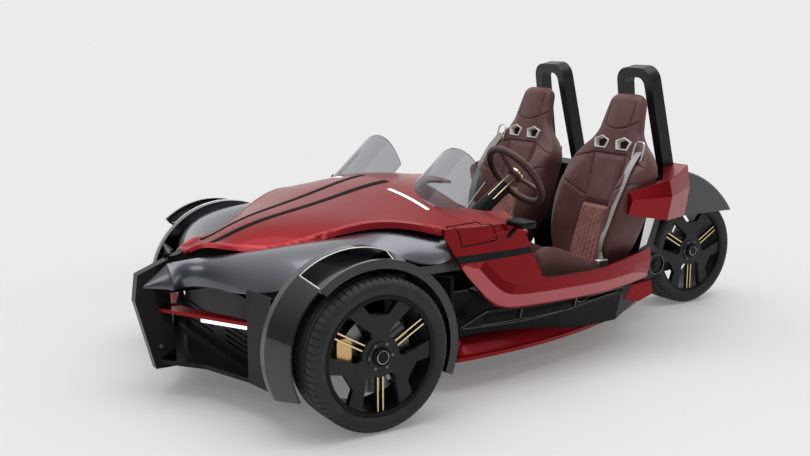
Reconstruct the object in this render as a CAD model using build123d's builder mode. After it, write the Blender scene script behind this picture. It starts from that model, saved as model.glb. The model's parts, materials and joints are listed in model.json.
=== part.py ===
"""Open two-seat three-wheeler: two steered front wheels, one rear wheel, electric drive.

Frame: +X forward, +Y to the driver's left, +Z up, millimetres. The origin is on the
ground under the middle of the overall length. Stations are measured from the front axle.
"""
import os
from math import cos, radians, sin, tan

from build123d import *

os.makedirs("parts", exist_ok=True)

# Overall layout
WHEELBASE = 2400.0
TRACK = 1540.0
FRONT_OVERHANG = 655.0
FRONT_TYRE_R = 295.0
REAR_TYRE_R = 290.0
FRONT_TYRE_W = 204.0
REAR_TYRE_W = 224.0
FRONT_X = (FRONT_OVERHANG + WHEELBASE + REAR_TYRE_R) / 2 - FRONT_OVERHANG
REAR_X = FRONT_X - WHEELBASE
WHEEL_Y = TRACK / 2

# Clearances
FIT = 0.3
RUN = 0.05
LAMP_GAP = 0.5

# Wheels, 17-inch rims
RIM_R = 231.0
RIM_WALL = 17.0
RIM_LIP = 10.0
HUB_R = 56.0
HUB_DEPTH = 70.0
HUB_FACE_GAP = 1.0
STUB_END_GAP = 2.0
SPOKE_SET_IN = 8.0
SPOKE_THICK = 24.0
STUB_R = 20.0
SHOULDER_R = 30.0
BEAD_SET_IN = 12.0
HUB_RING_R = 80.0
PADDLE = (
    # along the paddle, half width
    (50.0, 36.0),
    (94.0, 39.0),
    (200.0, 171.0),
)
WINDOW = (
    # along the paddle, half width
    (157.0, 37.0),
    (235.0, 104.0),
)
BAR_W = 7.0
BAR_PITCH = 22.0
BAR_SET_IN = 6.0
CAP_PROUD = 4.0
TREAD_SHOULDER = 16.0
TREAD_DROP = 8.0
BELLY_R = 258.0
DISC_R = 150.0
DISC_THICK = 8.0
DISC_FROM_FACE = 52.0
DISC_SLOT_L = 70.0
DISC_SLOT_W = 16.0
DISC_SLOT_OUT = 8.0

# Front suspension and steering
KINGPIN_IN = 30.0
KINGPIN_R = 10.0
BALL_HALF_SPAN = 112.0
EYE_R = 22.0
EYE_H = 24.0
ARM_TUBE_R = 13.0
UPRIGHT_HALF = 26.0
UPRIGHT_DEPTH = 34.0
BUSH_R = 18.0
BUSH_LENGTH = 44.0
BUSH_FRONT_X = 165.0
BUSH_REAR_X = -50.0
STEER_ARM = 115.0
STEER_ARM_DROP = 70.0
STEER_ARM_THICK = 14.0
STEER_ARM_HALF = 15.0
TIE_ROD_R = 9.0
ROD_END_R = 17.0
RACK_R = 20.0
RACK_HALF = 300.0
ROD_LIFT = 0.5
ROD_END_H = 26.0
RACK_FOOT_Y = 240.0
RACK_FOOT_W = 30.0
CALLIPER_X = 136.0
CALLIPER_RISE = 20.0
CALLIPER_W = 60.0
CALLIPER_H = 120.0
CALLIPER_LIP = 14.0
CALLIPER_ROUND = 14.0
DISC_AIR = 5.0
AXLE_BOSS_IN = 8.0
EYE_PROUD = 4.0
BRACKET_THICK = 12.0
BRACKET_IN = 25.0
REAR_CALLIPER_X = 126.0
REAR_CALLIPER_H = 96.0

# Battery in the nose
BATTERY_HALF_W = 330.0
BATTERY_FRONT_X = 270.0
BATTERY_REAR_X = -82.0
BATTERY_TOP_Z = 520.0
BATTERY_CHAMFER = 60.0

# Fenders over the front wheels
FENDER_GAP = 30.0
FENDER_SKIN = 9.0
FENDER_CREST = 51.0
FENDER_IN = 155.0
FENDER_OUT = 60.0
FENDER_FRONT_OUT = 5.0
FENDER_CAP_DEG = 50.0
FENDER_FRONT_DEG = -27.0
FENDER_REAR_DEG = 202.0
CREST_W = 34.0
SLOT_FROM_DEG = 52.0
SLOT_TO_DEG = 112.0
SLOT_IN = 112.0
SLOT_OUT = 45.0
RIB_RISE = 26.0
REAR_BLADE_IN = 10.0

# Body shell
SKIN = 12.0
FLOOR_Z = 150.0
FLOOR_THICK = 20.0
TUB_WALL = 18.0
TUB_DOOR_X = -455.0
SILL_Z = 432.0
LEDGE_FROM_X = -550.0
LINER_Y = 505.0
LINER_WALL = 10.0
LINER_TOP_Z = 500.0
FIREWALL_TOP_Z = 540.0
LINER_REAR_Y = 655.0
LINER_REAR_X = -443.0
LINER_FRONT_X = 240.0
LINER_KINK_X = -317.0
LINER_BACK = 12.0
ARM_WINDOW_Z = 305.0
ARM_WINDOW_L = 440.0
ARM_WINDOW_H = 290.0
ARCH_X = 330.0
PANEL_WALL = 14.0
PANEL_LOW_Z = 240.0
PANEL_PLAN = (
    # station, half width of the outer face
    (-400.0, 688.0),
    (-900.0, 700.0),
    (-1660.0, 560.0),
)
SHOULDER_SKIN = 8.0
HOOD_END_X = -790.0
SCALLOP_HALF_W = 205.0
SCALLOP_DEPTH = 190.0
SCALLOP_ROUND = 120.0
SPINE_FRONT_X = 350.0
SPINE_REAR_X = -470.0
SPINE_FRONT_HALF = 34.0
SPINE_REAR_HALF = 92.0
SPINE_SLOT = 30.0
STRIP_X = -405.0
STRIP_SWEEP = 32.0
STRIP_W = 15.0
STRIP_IN_Y = 215.0
STRIP_OUT_Y = 480.0
HIGH = 2000.0

# Nose
PROW_HALF_W = 24.0
PROW_BOTTOM_X = 580.0
PROW_BOTTOM_Z = 112.0
PROW_TOP_Z = 513.0
TOW_EYE_X = 555.0
TOW_EYE_Z = 205.0
TOW_EYE_R = 9.0
SPLITTER_THICK = 18.0
CHEEK_Y = 430.0
CHEEK_OUT_Y = 600.0
CHEEK_IN_X = 348.0
CHEEK_OUT_X = 322.0
HOOD_GAP = 1.0
CHEEK_THICK = 14.0
CHEEK_TOP_Z = 500.0
BLADE_Z = 352.0
BLADE_THICK = 14.0
BLADE_ROOT_X = 560.0
BLADE_ROOT_L = 90.0
BLADE_TIP_X = 330.0
BLADE_TIP_L = 34.0
LAMP_BAR_H = 16.0
LAMP_IN_Y = 205.0
LAMP_OUT_Y = 400.0
LAMP_DEPTH = 22.0
LAMP_SET_IN = 8.0
GRILLE_X = 285.0
GRILLE_HALF_W = 410.0
GRILLE_TOP_Z = 430.0
GRILLE_BAR = 9.0
GRILLE_PITCH = 24.0
GRILLE_ROWS = 4
GRILLE_SLOT_L = 300.0
GRILLE_LOW_Z = 190.0

# Cockpit
JACK_X = -950.0
JACK_Y = 400.0
JACK_R = 30.0
JACK_DROP = 22.0
SEAT_Y = 337.0
SEAT_HALF_W = 255.0
SEAT_HIP_X = -1395.0
SEAT_RAKE = 17.0
SEAT_BACK_THICK = 105.0
SEAT_BACK_H = 890.0
SEAT_FRONT_X = -985.0
CUSHION_Z = 330.0
BOLSTER_W = 60.0
BOLSTER_IN = 12.0
CUSHION_HALF_W = 190.0
SEAT_BASE_Z = 250.0
SEAT_RISER_L = 280.0
SEAT_RISER_HALF = 120.0
HEADREST_CUT = 360.0
HEADREST_THIN = 40.0
BELT_PORT_Y = 74.0
BELT_PORT_RISE = 642.0
WHEEL_HUB_X = -1000.0
WHEEL_HUB_Z = 832.0
WHEEL_RIM_R = 152.0
WHEEL_GRIP_R = 15.0
COLUMN_RAKE = 36.0
COLUMN_R = 20.0
COLUMN_LENGTH = 235.0
COLUMN_TUBE_WALL = 14.0
COLUMN_CLEAR = 70.0
COLUMN_SEAT = 60.0
COLUMN_END_GAP = 2.0
WHEEL_BOSS_R = 38.0
WHEEL_SPOKE_W = 26.0
WHEEL_PLATE = 5.0
WHEEL_BOSS_PROUD = 8.0
GRIP_FACES = 10
SCREEN_THICK = 6.0
SCREEN_HALF_W = 222.0
SCREEN_TOP_HALF = 195.0
SCREEN_ROUND = 125.0
SCREEN_SAG = 125.0
SCREEN_BASE_X = -448.0
SCREEN_BASE_Z = 755.0
SCREEN_H = 235.0
SCREEN_RAKE = 47.0

# Rear body
BULKHEAD_GAP = 54.0
TAIL_LENGTH = 295.0
TAIL_DROP = 60.0
DECK_Z = 790.0
PIVOT_AHEAD = 10.0
PIVOT_Z = 292.0
HOOP_Y = 317.0
HOOP_OVER_SEAT = 122.0
HOOP_GAP = 8.0
HOOP_HALF_W = 150.0
HOOP_TOP_HALF = 110.0
HOOP_LEG_W = 46.0
HOOP_ROUND = 70.0
HOOP_ROUND_IN = 40.0
HOOP_SINK = 60.0
HOOP_DEPTH = 66.0
HOOP_LEAN = 11.0
REAR_FENDER_HALF_W = 150.0
REAR_FENDER_SKIN = 8.0
SWINGARM_W = 55.0
MOTOR_R = 96.0
MOTOR_HALF_W = 185.0
CAP_R = 54.0
CAP_OUT = 60.0
REAR_HUB_DEPTH = 190.0
REAR_DISC_FROM_FACE = 182.0
PIVOT_R = 70.0
AXLE_BOSS_R = 52.0
FENDER_LAP = 20.0
CREST_AHEAD = 30.0
FENDER_CREST_Z = 712.0
FENDER_EDGE_Z = 503.0
TIP_BEHIND = 240.0
TIP_HALF_W = 150.0
FENDER_BEVEL = 7.0

# Quarter pods
POD_TOP_IN = 20.0
POD_LOW_IN = 25.0
POD_CREASE = 20.0

# Cockpit fittings
TUNNEL_HALF_W = 75.0
TUNNEL_Z = 360.0
DASH_HALF_W = 690.0
DASH_EDGE = (
    # station, height
    (-620.0, 560.0),
    (-630.0, 655.0),
    (-745.0, 662.0),
    (-800.0, 635.0),
    (-790.0, 585.0),
    (-700.0, 540.0),
)
PEDAL_W = 60.0
PEDAL_H = 90.0
PEDAL_THICK = 10.0
PEDAL_Z = 290.0
PEDAL_ARM_L = 40.0
PEDAL_ARM_W = 16.0
PEDAL_ARM_H = 30.0
PEDAL_SPREAD = 65.0
MIRROR_X = -706.0
MIRROR_Y = 764.0
MIRROR_Z = 711.0
MIRROR_L = 74.0
MIRROR_W = 116.0
MIRROR_H = 30.0
MIRROR_ROUND = 12.0
MIRROR_FOOT_Y = 672.0
MIRROR_FOOT_Z = 640.0
MIRROR_STALK_R = 9.0

# Side ducts and skirts
SKIRT_THICK = 16.0
DUCT_TUCK = 12.0
WINGLET_IN_Y = 400.0
WINGLET_W = 115.0

SIDES = (("left", 1), ("right", -1))

# Stations that follow from the seats
lean = radians(SEAT_RAKE)
seat_top_z = CUSHION_Z + SEAT_BACK_H * cos(lean)
seat_rear_x = SEAT_HIP_X - (SEAT_BACK_THICK - HEADREST_THIN) * cos(lean) - SEAT_BACK_H * sin(lean)
deck_rise = (DECK_Z - CUSHION_Z) * tan(lean)
BULKHEAD_X = SEAT_HIP_X - deck_rise - SEAT_BACK_THICK / cos(lean) - BULKHEAD_GAP
TAIL_X = BULKHEAD_X - TAIL_LENGTH
PIVOT_X = TAIL_X + PIVOT_AHEAD


def station(x):
    """Station measured from the front axle, as a frame X."""
    return FRONT_X + x


def save(builder, name):
    builder.part.label = name
    export_step(builder.part, f"parts/{name}.step")


def largest(builder):
    """The biggest solid of a part that a cut has left in pieces."""
    return builder.part.solids().sort_by(SortBy.VOLUME)[-1]


def tube(start, end, radius):
    """Round bar between two points, added to the current part."""
    path = Vector(*end) - Vector(*start)
    with BuildSketch(Plane(origin=start, z_dir=path)) as section:
        Circle(radius)
    extrude(section.sketch, amount=path.length)


def wheel_face(x, y, z, side, out=0.0):
    """Plane across a wheel, its Y up and its normal out to that side."""
    return Plane(origin=(x, y + side * out, z), x_dir=(-side, 0, 0), z_dir=(0, side, 0))


def wheel_section(x, y, z, side):
    """Plane through an axle: local X is radius, local Y is outward."""
    return Plane(origin=(x, y, z), x_dir=(0, 0, 1), z_dir=(-side, 0, 0))


def crown(half, edge_z, ridge_z, skin):
    """Crowned strip across the body, seen along X."""
    with BuildLine() as outline:
        ThreePointArc((-half, edge_z), (0, ridge_z), (half, edge_z))
        Line((half, edge_z), (half, edge_z - skin))
        ThreePointArc((half, edge_z - skin), (0, ridge_z - skin), (-half, edge_z - skin))
        Line((-half, edge_z - skin), (-half, edge_z))
    make_face(outline.edges())


def curved_strip(top, low, bulge, skin):
    """Strip from a top edge to a low edge, bulging outward, of one thickness."""
    start = Vector(*top)
    end = Vector(*low)
    run = (end - start).normalized()
    out = Vector(-run.Y, run.X)
    middle = (start + end) * 0.5 + out * bulge
    with BuildLine() as outline:
        ThreePointArc(start, middle, end)
        Line(end, end - out * skin)
        ThreePointArc(end - out * skin, middle - out * skin, start - out * skin)
        Line(start - out * skin, start)
    make_face(outline.edges())


def mirrored(builder, name):
    """The same piece on the right-hand side."""
    with BuildPart() as twin:
        mirror(builder.part, about=Plane.XZ)
    save(twin, name)
    return twin


def both_sides(builder, name):
    """A left-hand piece and its mirror image as one node."""
    with BuildPart() as pair:
        add(builder.part)
        mirror(builder.part, about=Plane.XZ)
    save(pair, name)
    return pair


# Tyres, rims and brake discs
def build_tyre(name, x, y, radius, width, side):
    plane = wheel_section(x, y, radius, side)
    half = width / 2
    outline = [
        (RIM_R + FIT, half - BEAD_SET_IN),
        (BELLY_R, half),
        (radius - SHOULDER_R, half - TREAD_DROP / 2),
        (radius - TREAD_DROP, half - TREAD_SHOULDER),
        (radius, half - SHOULDER_R),
    ]
    with BuildPart() as tyre:
        with BuildSketch(plane):
            with BuildLine():
                Polyline(*outline, *[(r, -y) for r, y in reversed(outline)], close=True)
            make_face()
        revolve(axis=Axis((x, y, radius), (0, side, 0)))
    save(tyre, name)


def build_rim(name, x, y, radius, width, side, hub_depth):
    half = width / 2 - BEAD_SET_IN
    face = half - SPOKE_SET_IN
    barrel = RIM_R - RIM_WALL
    axis = Axis((x, y, radius), (0, side, 0))
    with BuildPart() as rim:
        with BuildSketch(wheel_section(x, y, radius, side)):
            with BuildLine():
                Polyline((barrel, -half), (RIM_R, -half), (RIM_R, half), (RIM_R - RIM_LIP, half),
                         (barrel, half - RIM_LIP), close=True)
            make_face()
        revolve(axis=axis)
        with BuildSketch(wheel_face(x, y, radius, side, face - SPOKE_THICK)):
            with PolarLocations(0, 3, start_angle=90):
                Polygon(*[(r, -half_w) for r, half_w in PADDLE],
                        *[(r, half_w) for r, half_w in reversed(PADDLE)], align=None)
            with PolarLocations(0, 3, start_angle=90):
                Polygon(*[(r, -half_w) for r, half_w in WINDOW],
                        *[(r, half_w) for r, half_w in reversed(WINDOW)], align=None, mode=Mode.SUBTRACT)
            Circle(HUB_RING_R)
            Circle(barrel + RIM_LIP / 2, mode=Mode.INTERSECT)
        extrude(amount=SPOKE_THICK)
        with BuildSketch(wheel_face(x, y, radius, side, face - SPOKE_THICK)):
            with PolarLocations((HUB_R + barrel) / 2, 3, start_angle=30):
                with GridLocations(1, BAR_PITCH, 1, 2):
                    Rectangle(barrel - HUB_R + RIM_LIP, BAR_W)
        extrude(amount=SPOKE_THICK - BAR_SET_IN)
        with BuildSketch(wheel_face(x, y, radius, side, face - hub_depth)):
            Circle(HUB_R)
        extrude(amount=hub_depth + CAP_PROUD)
        with BuildSketch(wheel_face(x, y, radius, side, face - hub_depth)):
            Circle(STUB_R + RUN)
        extrude(amount=hub_depth - SPOKE_THICK, mode=Mode.SUBTRACT)
    save(rim, name)
    return face


def build_disc(name, x, y, radius, side, set_out):
    with BuildPart() as disc:
        with BuildSketch(wheel_face(x, y, radius, side, set_out)):
            Circle(DISC_R)
            Circle(HUB_R + FIT, mode=Mode.SUBTRACT)
            with PolarLocations((HUB_R + DISC_R) / 2 + DISC_SLOT_OUT, 6):
                SlotOverall(DISC_SLOT_L, DISC_SLOT_W, mode=Mode.SUBTRACT)
        extrude(amount=DISC_THICK)
    save(disc, name)


WHEELS = (
    # name, x, y, tyre radius, tyre width, side, hub depth, disc behind the wheel's face
    ("front_left", FRONT_X, WHEEL_Y, FRONT_TYRE_R, FRONT_TYRE_W, 1, HUB_DEPTH, DISC_FROM_FACE),
    ("front_right", FRONT_X, -WHEEL_Y, FRONT_TYRE_R, FRONT_TYRE_W, -1, HUB_DEPTH, DISC_FROM_FACE),
    ("rear", REAR_X, 0.0, REAR_TYRE_R, REAR_TYRE_W, 1, REAR_HUB_DEPTH, REAR_DISC_FROM_FACE),
)
faces = {}
for wheel, x, y, radius, width, side, hub_depth, disc_in in WHEELS:
    build_tyre(f"tyre_{wheel}", x, y, radius, width, side)
    faces[wheel] = build_rim(f"rim_{wheel}", x, y, radius, width, side, hub_depth)
    build_disc(f"brake_disc_{wheel}", x, y, radius, side, faces[wheel] - disc_in)

# Knuckles with stub axle, king pins and steering arm
BRACKET_EDGE = (
    # ahead of the axle, above the axle
    (0.0, 20.0),
    (DISC_R - BRACKET_IN, 62.0),
    (DISC_R - BRACKET_IN, -20.0),
    (0.0, -40.0),
)
kingpin_y = WHEEL_Y - KINGPIN_IN
axle_z = FRONT_TYRE_R
hub_in_y = WHEEL_Y + faces["front_left"] - HUB_DEPTH
stub_end_y = hub_in_y + HUB_DEPTH - SPOKE_THICK - STUB_END_GAP
eye_reach = BALL_HALF_SPAN + EYE_H / 2 + EYE_PROUD
body_half = BALL_HALF_SPAN - EYE_H / 2 - FIT
arm_z = axle_z - STEER_ARM_DROP
with BuildPart() as knuckle_left:
    with Locations((FRONT_X, kingpin_y, axle_z)):
        Box(2 * UPRIGHT_HALF, UPRIGHT_DEPTH, 2 * body_half)
        Cylinder(KINGPIN_R, 2 * eye_reach)
    tube((FRONT_X, kingpin_y, axle_z), (FRONT_X, stub_end_y, axle_z), STUB_R)
    tube((FRONT_X, kingpin_y, axle_z), (FRONT_X, hub_in_y - HUB_FACE_GAP, axle_z), HUB_R - AXLE_BOSS_IN)
    with BuildSketch(Plane.XY.offset(arm_z - STEER_ARM_THICK)):
        with BuildLine():
            Polyline((FRONT_X, kingpin_y + ROD_END_R), (FRONT_X - STEER_ARM, kingpin_y + STEER_ARM_HALF),
                     (FRONT_X - STEER_ARM, kingpin_y - STEER_ARM_HALF), (FRONT_X, kingpin_y - ROD_END_R),
                     close=True)
        make_face()
        with Locations((FRONT_X - STEER_ARM, kingpin_y)):
            Circle(ROD_END_R)
    extrude(amount=STEER_ARM_THICK)
    with BuildSketch(Plane.XZ.offset(-(kingpin_y + UPRIGHT_DEPTH / 2 - BRACKET_THICK))):
        with BuildLine():
            Polyline(*[(FRONT_X + ahead, axle_z + rise) for ahead, rise in BRACKET_EDGE], close=True)
        make_face()
    extrude(amount=-BRACKET_THICK)
save(knuckle_left, "knuckle_left")
mirrored(knuckle_left, "knuckle_right")

# Brake callipers in front of the king pins, grooved for the discs
disc_y = WHEEL_Y + faces["front_left"] - DISC_FROM_FACE
bracket_y = kingpin_y + UPRIGHT_DEPTH / 2
calliper_depth = disc_y + DISC_THICK + CALLIPER_LIP - bracket_y - FIT
with BuildPart() as calliper_left:
    with Locations((FRONT_X + CALLIPER_X, bracket_y + FIT + calliper_depth / 2, axle_z + CALLIPER_RISE)):
        Box(CALLIPER_W, calliper_depth, CALLIPER_H)
    fillet(calliper_left.edges().filter_by(Axis.Y), radius=CALLIPER_ROUND)
    with BuildSketch(wheel_face(FRONT_X, disc_y - DISC_AIR, axle_z, 1)):
        Circle(DISC_R + DISC_AIR)
    extrude(amount=DISC_THICK + 2 * DISC_AIR, mode=Mode.SUBTRACT)
save(calliper_left, "brake_calliper_left")
mirrored(calliper_left, "brake_calliper_right")

# Traction battery in the nose
floor_top = FLOOR_Z + FLOOR_THICK
with BuildPart() as battery:
    with BuildSketch(Plane.XY.offset(floor_top)):
        with Locations((station((BATTERY_FRONT_X + BATTERY_REAR_X) / 2), 0)):
            Rectangle(BATTERY_FRONT_X - BATTERY_REAR_X, 2 * BATTERY_HALF_W)
    extrude(amount=BATTERY_TOP_Z - floor_top)
    chamfer(battery.edges().filter_by(Axis.X).group_by(Axis.Z)[-1], length=BATTERY_CHAMFER)
save(battery, "battery_pack")

# Wishbones: two tubes each, inner bushes on the battery case, an eye on each king pin
bush_out_y = BATTERY_HALF_W + BUSH_LENGTH
with BuildPart() as wishbones:
    for level in (axle_z - BALL_HALF_SPAN, axle_z + BALL_HALF_SPAN):
        inner_z = max(level, floor_top + BUSH_R + FIT)
        for bush_x in (BUSH_FRONT_X, BUSH_REAR_X):
            foot_x = station(bush_x)
            tube((foot_x, bush_out_y - BUSH_R, inner_z), (FRONT_X, kingpin_y, level), ARM_TUBE_R)
            tube((foot_x, BATTERY_HALF_W, inner_z), (foot_x, bush_out_y, inner_z), BUSH_R)
        with Locations((FRONT_X, kingpin_y, level)):
            Cylinder(EYE_R, EYE_H)
    with Locations((FRONT_X, kingpin_y, axle_z)):
        Cylinder(KINGPIN_R + RUN, 4 * BALL_HALF_SPAN, mode=Mode.SUBTRACT)
        Box(3 * EYE_R, 3 * EYE_R, 2 * body_half + 2 * FIT, mode=Mode.SUBTRACT)
both_sides(wishbones, "wishbones")

# Steering rack: tie rods that slide in a housing on the floor
rack_x = FRONT_X - STEER_ARM
rack_z = arm_z + ROD_LIFT + ROD_END_H / 2
rod_end_y = kingpin_y
with BuildPart() as tie_rods:
    tube((rack_x, -rod_end_y, rack_z), (rack_x, rod_end_y, rack_z), TIE_ROD_R)
    with BuildSketch(Plane.XY.offset(arm_z + ROD_LIFT)):
        with Locations((rack_x, rod_end_y), (rack_x, -rod_end_y)):
            Circle(ROD_END_R)
    extrude(amount=ROD_END_H)
save(tie_rods, "tie_rods")
with BuildPart() as rack_housing:
    with BuildSketch(Plane.XZ.offset(-RACK_HALF)):
        with Locations((rack_x, rack_z)):
            Circle(RACK_R)
    extrude(amount=2 * RACK_HALF)
    with BuildSketch(Plane.XY.offset(floor_top)):
        with GridLocations(0, 2 * RACK_FOOT_Y, 1, 2):
            with Locations((rack_x, 0)):
                Rectangle(2 * RACK_R, RACK_FOOT_W)
    extrude(amount=rack_z - floor_top)
    with BuildSketch(Plane.XZ.offset(-RACK_HALF)):
        with Locations((rack_x, rack_z)):
            Circle(TIE_ROD_R + RUN)
    extrude(amount=2 * RACK_HALF, mode=Mode.SUBTRACT)
save(rack_housing, "rack_housing")

# Hood: crowned red shell from the nose to the two cockpit scallops
HOOD = (
    # station, half width, edge height, ridge height
    (450.0, 45.0, 588.0, 600.0),
    (260.0, 170.0, 612.0, 648.0),
    (-30.0, 400.0, 682.0, 728.0),
    (-270.0, 545.0, 722.0, 785.0),
    (-430.0, 640.0, 690.0, 820.0),
    (-590.0, 690.0, 668.0, 826.0),
    (HOOD_END_X, 704.0, 660.0, 806.0),
)
with BuildPart() as hood:
    for x, half, edge_z, ridge_z in HOOD:
        with BuildSketch(Plane.YZ.offset(station(x))):
            crown(half, edge_z, ridge_z, SKIN)
    loft()
    with BuildSketch():
        with Locations((station(HOOD_END_X), SEAT_Y), (station(HOOD_END_X), -SEAT_Y)):
            RectangleRounded(2 * SCALLOP_DEPTH, 2 * SCALLOP_HALF_W, SCALLOP_ROUND)
    extrude(amount=HIGH, mode=Mode.SUBTRACT)
    for _, side in SIDES:
        with BuildSketch():
            with BuildLine():
                Polyline((station(SPINE_FRONT_X), side * SPINE_FRONT_HALF),
                         (station(SPINE_REAR_X), side * SPINE_REAR_HALF),
                         (station(SPINE_REAR_X), side * (SPINE_REAR_HALF + SPINE_SLOT)),
                         (station(SPINE_FRONT_X), side * (SPINE_FRONT_HALF + SPINE_SLOT / 2)), close=True)
            make_face()
        extrude(amount=HIGH, mode=Mode.SUBTRACT)


def cowl_strip(gap):
    """Plan of the light strips ahead of the screens, grown by a gap."""
    for _, side in SIDES:
        with BuildLine() as outline:
            Polyline((station(STRIP_X) + gap, side * (STRIP_IN_Y - gap)),
                     (station(STRIP_X - STRIP_SWEEP) + gap, side * (STRIP_OUT_Y + gap)),
                     (station(STRIP_X - STRIP_SWEEP) - STRIP_W - gap, side * (STRIP_OUT_Y + gap)),
                     (station(STRIP_X) - STRIP_W - gap, side * (STRIP_IN_Y - gap)), close=True)
        make_face(outline.edges())


with BuildPart() as cowl_lamps:
    add(hood.part)
    with BuildSketch():
        cowl_strip(0)
    extrude(amount=HIGH, mode=Mode.INTERSECT)
save(cowl_lamps, "cowl_lamps")
with BuildPart() as hood_cut:
    add(hood.part)
    with BuildSketch():
        cowl_strip(LAMP_GAP)
    extrude(amount=HIGH, mode=Mode.SUBTRACT)
save(hood_cut, "hood")

# Side panels: doubly curved wall, trimmed to the low door opening and the sill
PANEL_LEVELS = (
    # height, tuck-in
    (PANEL_LOW_Z, 46.0),
    (420.0, 0.0),
    (700.0, 18.0),
)
PANEL_EDGE = (
    # station, height
    (-380.0, 700.0),
    (-426.0, 621.0),
    (-480.0, 524.0),
    (-578.0, 408.0),
    (-640.0, 360.0),
    (-725.0, 336.0),
    (-1291.0, 318.0),
    (-1635.0, 330.0),
    (-1620.0, 478.0),
    (-1547.0, 470.0),
    (-1231.0, 438.0),
    (-930.0, 442.0),
    (-879.0, 457.0),
    (-824.0, 566.0),
    (-768.0, 700.0),
)
BAND = (
    # station, low height, top height
    (-380.0, 552.0, 586.0),
    (-900.0, 566.0, 592.0),
)


def side_wall(tuck, levels):
    """Wall that bows outward at the doors and closes in to the rear, left side."""
    sections = []
    for height, inset in levels:
        outer = [(station(x), y - inset - tuck) for x, y in PANEL_PLAN]
        inner = [(x, y - PANEL_WALL) for x, y in outer]
        with BuildSketch(Plane.XY.offset(height)) as section:
            with BuildLine():
                ThreePointArc(*outer)
                Line(outer[2], inner[2])
                ThreePointArc(*reversed(inner))
                Line(inner[0], outer[0])
            make_face()
        sections.append(section.sketch.face())
    loft(sections, ruled=True)


def panel_outline():
    """Side view of a panel: slanted nose, tall scuttle, low sill."""
    with BuildLine() as outline:
        Polyline(*[(station(x), z) for x, z in PANEL_EDGE], close=True)
    make_face(outline.edges())


def band_outline(gap):
    """Black band across the scuttle."""
    with BuildLine() as outline:
        Polyline(*[(station(x), low - gap) for x, low, _ in BAND],
                 *[(station(x), top + gap) for x, _, top in reversed(BAND)], close=True)
    make_face(outline.edges())


with BuildPart() as panel_whole:
    side_wall(0, PANEL_LEVELS)
    with BuildSketch(Plane.XZ):
        panel_outline()
    extrude(amount=-HIGH, mode=Mode.INTERSECT)
    add(hood.part, mode=Mode.SUBTRACT)
with BuildPart() as side_walls:
    add(panel_whole.part)
    mirror(panel_whole.part, about=Plane.XZ)
with BuildPart() as panel_left:
    add(panel_whole.part)
    with BuildSketch(Plane.XZ):
        band_outline(FIT)
    extrude(amount=-HIGH, mode=Mode.SUBTRACT)
both_sides(panel_left, "side_panels")
with BuildPart() as bands:
    add(panel_whole.part)
    with BuildSketch(Plane.XZ):
        band_outline(0)
    extrude(amount=-HIGH, mode=Mode.INTERSECT)
both_sides(bands, "side_bands")

# Front fenders: crested bands round the tyres, with a slot over the tread
fender_in_r = FRONT_TYRE_R + FENDER_GAP
fender_out_r = fender_in_r + FENDER_SKIN
axle_axis = Axis((FRONT_X, WHEEL_Y, axle_z), (0, -1, 0))
section_up = wheel_section(FRONT_X, WHEEL_Y, axle_z, 1)
with BuildPart() as fender_left:
    with BuildSketch(section_up.rotated((0, 90 - FENDER_FRONT_DEG, 0))):
        with BuildLine():
            Polyline((fender_in_r, -FENDER_IN), (fender_in_r + FENDER_CREST, -FENDER_IN),
                     (fender_in_r + FENDER_CREST, CREST_W - FENDER_IN), (fender_out_r, FENDER_FRONT_OUT),
                     (fender_in_r, FENDER_FRONT_OUT), close=True)
        make_face()
    revolve(axis=axle_axis, revolution_arc=FENDER_REAR_DEG - FENDER_FRONT_DEG)
    with BuildSketch(section_up.rotated((0, 90 - FENDER_CAP_DEG, 0))):
        with BuildLine():
            Polyline((fender_in_r, SLOT_OUT), (fender_out_r + RIB_RISE, SLOT_OUT),
                     (fender_out_r + RIB_RISE, FENDER_OUT), (fender_in_r, FENDER_OUT), close=True)
        make_face()
    revolve(axis=axle_axis, revolution_arc=FENDER_REAR_DEG - FENDER_CAP_DEG)
    with BuildSketch(section_up.rotated((0, 90 - FENDER_CAP_DEG, 0))):
        with BuildLine():
            Polyline((fender_in_r, 0), (fender_out_r, 0), (fender_out_r, FENDER_OUT),
                     (fender_in_r, FENDER_OUT), close=True)
        make_face()
    revolve(axis=axle_axis, revolution_arc=FENDER_REAR_DEG - FENDER_CAP_DEG)
    with BuildSketch(section_up.rotated((0, 90 - SLOT_FROM_DEG, 0))):
        with BuildLine():
            Polyline((fender_out_r, -SLOT_IN), (fender_out_r, SLOT_OUT), (FENDER_IN + fender_out_r, SLOT_OUT),
                     (FENDER_IN + fender_out_r, -SLOT_IN), close=True)
        make_face()
    revolve(axis=axle_axis, revolution_arc=SLOT_TO_DEG - SLOT_FROM_DEG, mode=Mode.SUBTRACT)
    with BuildSketch(Plane.XZ.offset(-(WHEEL_Y - REAR_BLADE_IN))):
        with Locations((FRONT_X - FRONT_TYRE_R, axle_z)):
            Rectangle(FRONT_TYRE_R, 2 * FRONT_TYRE_R, align=(Align.CENTER, Align.CENTER))
    extrude(amount=FENDER_IN + FRONT_TYRE_W, mode=Mode.SUBTRACT)
fenders = both_sides(fender_left, "front_fenders")

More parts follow.
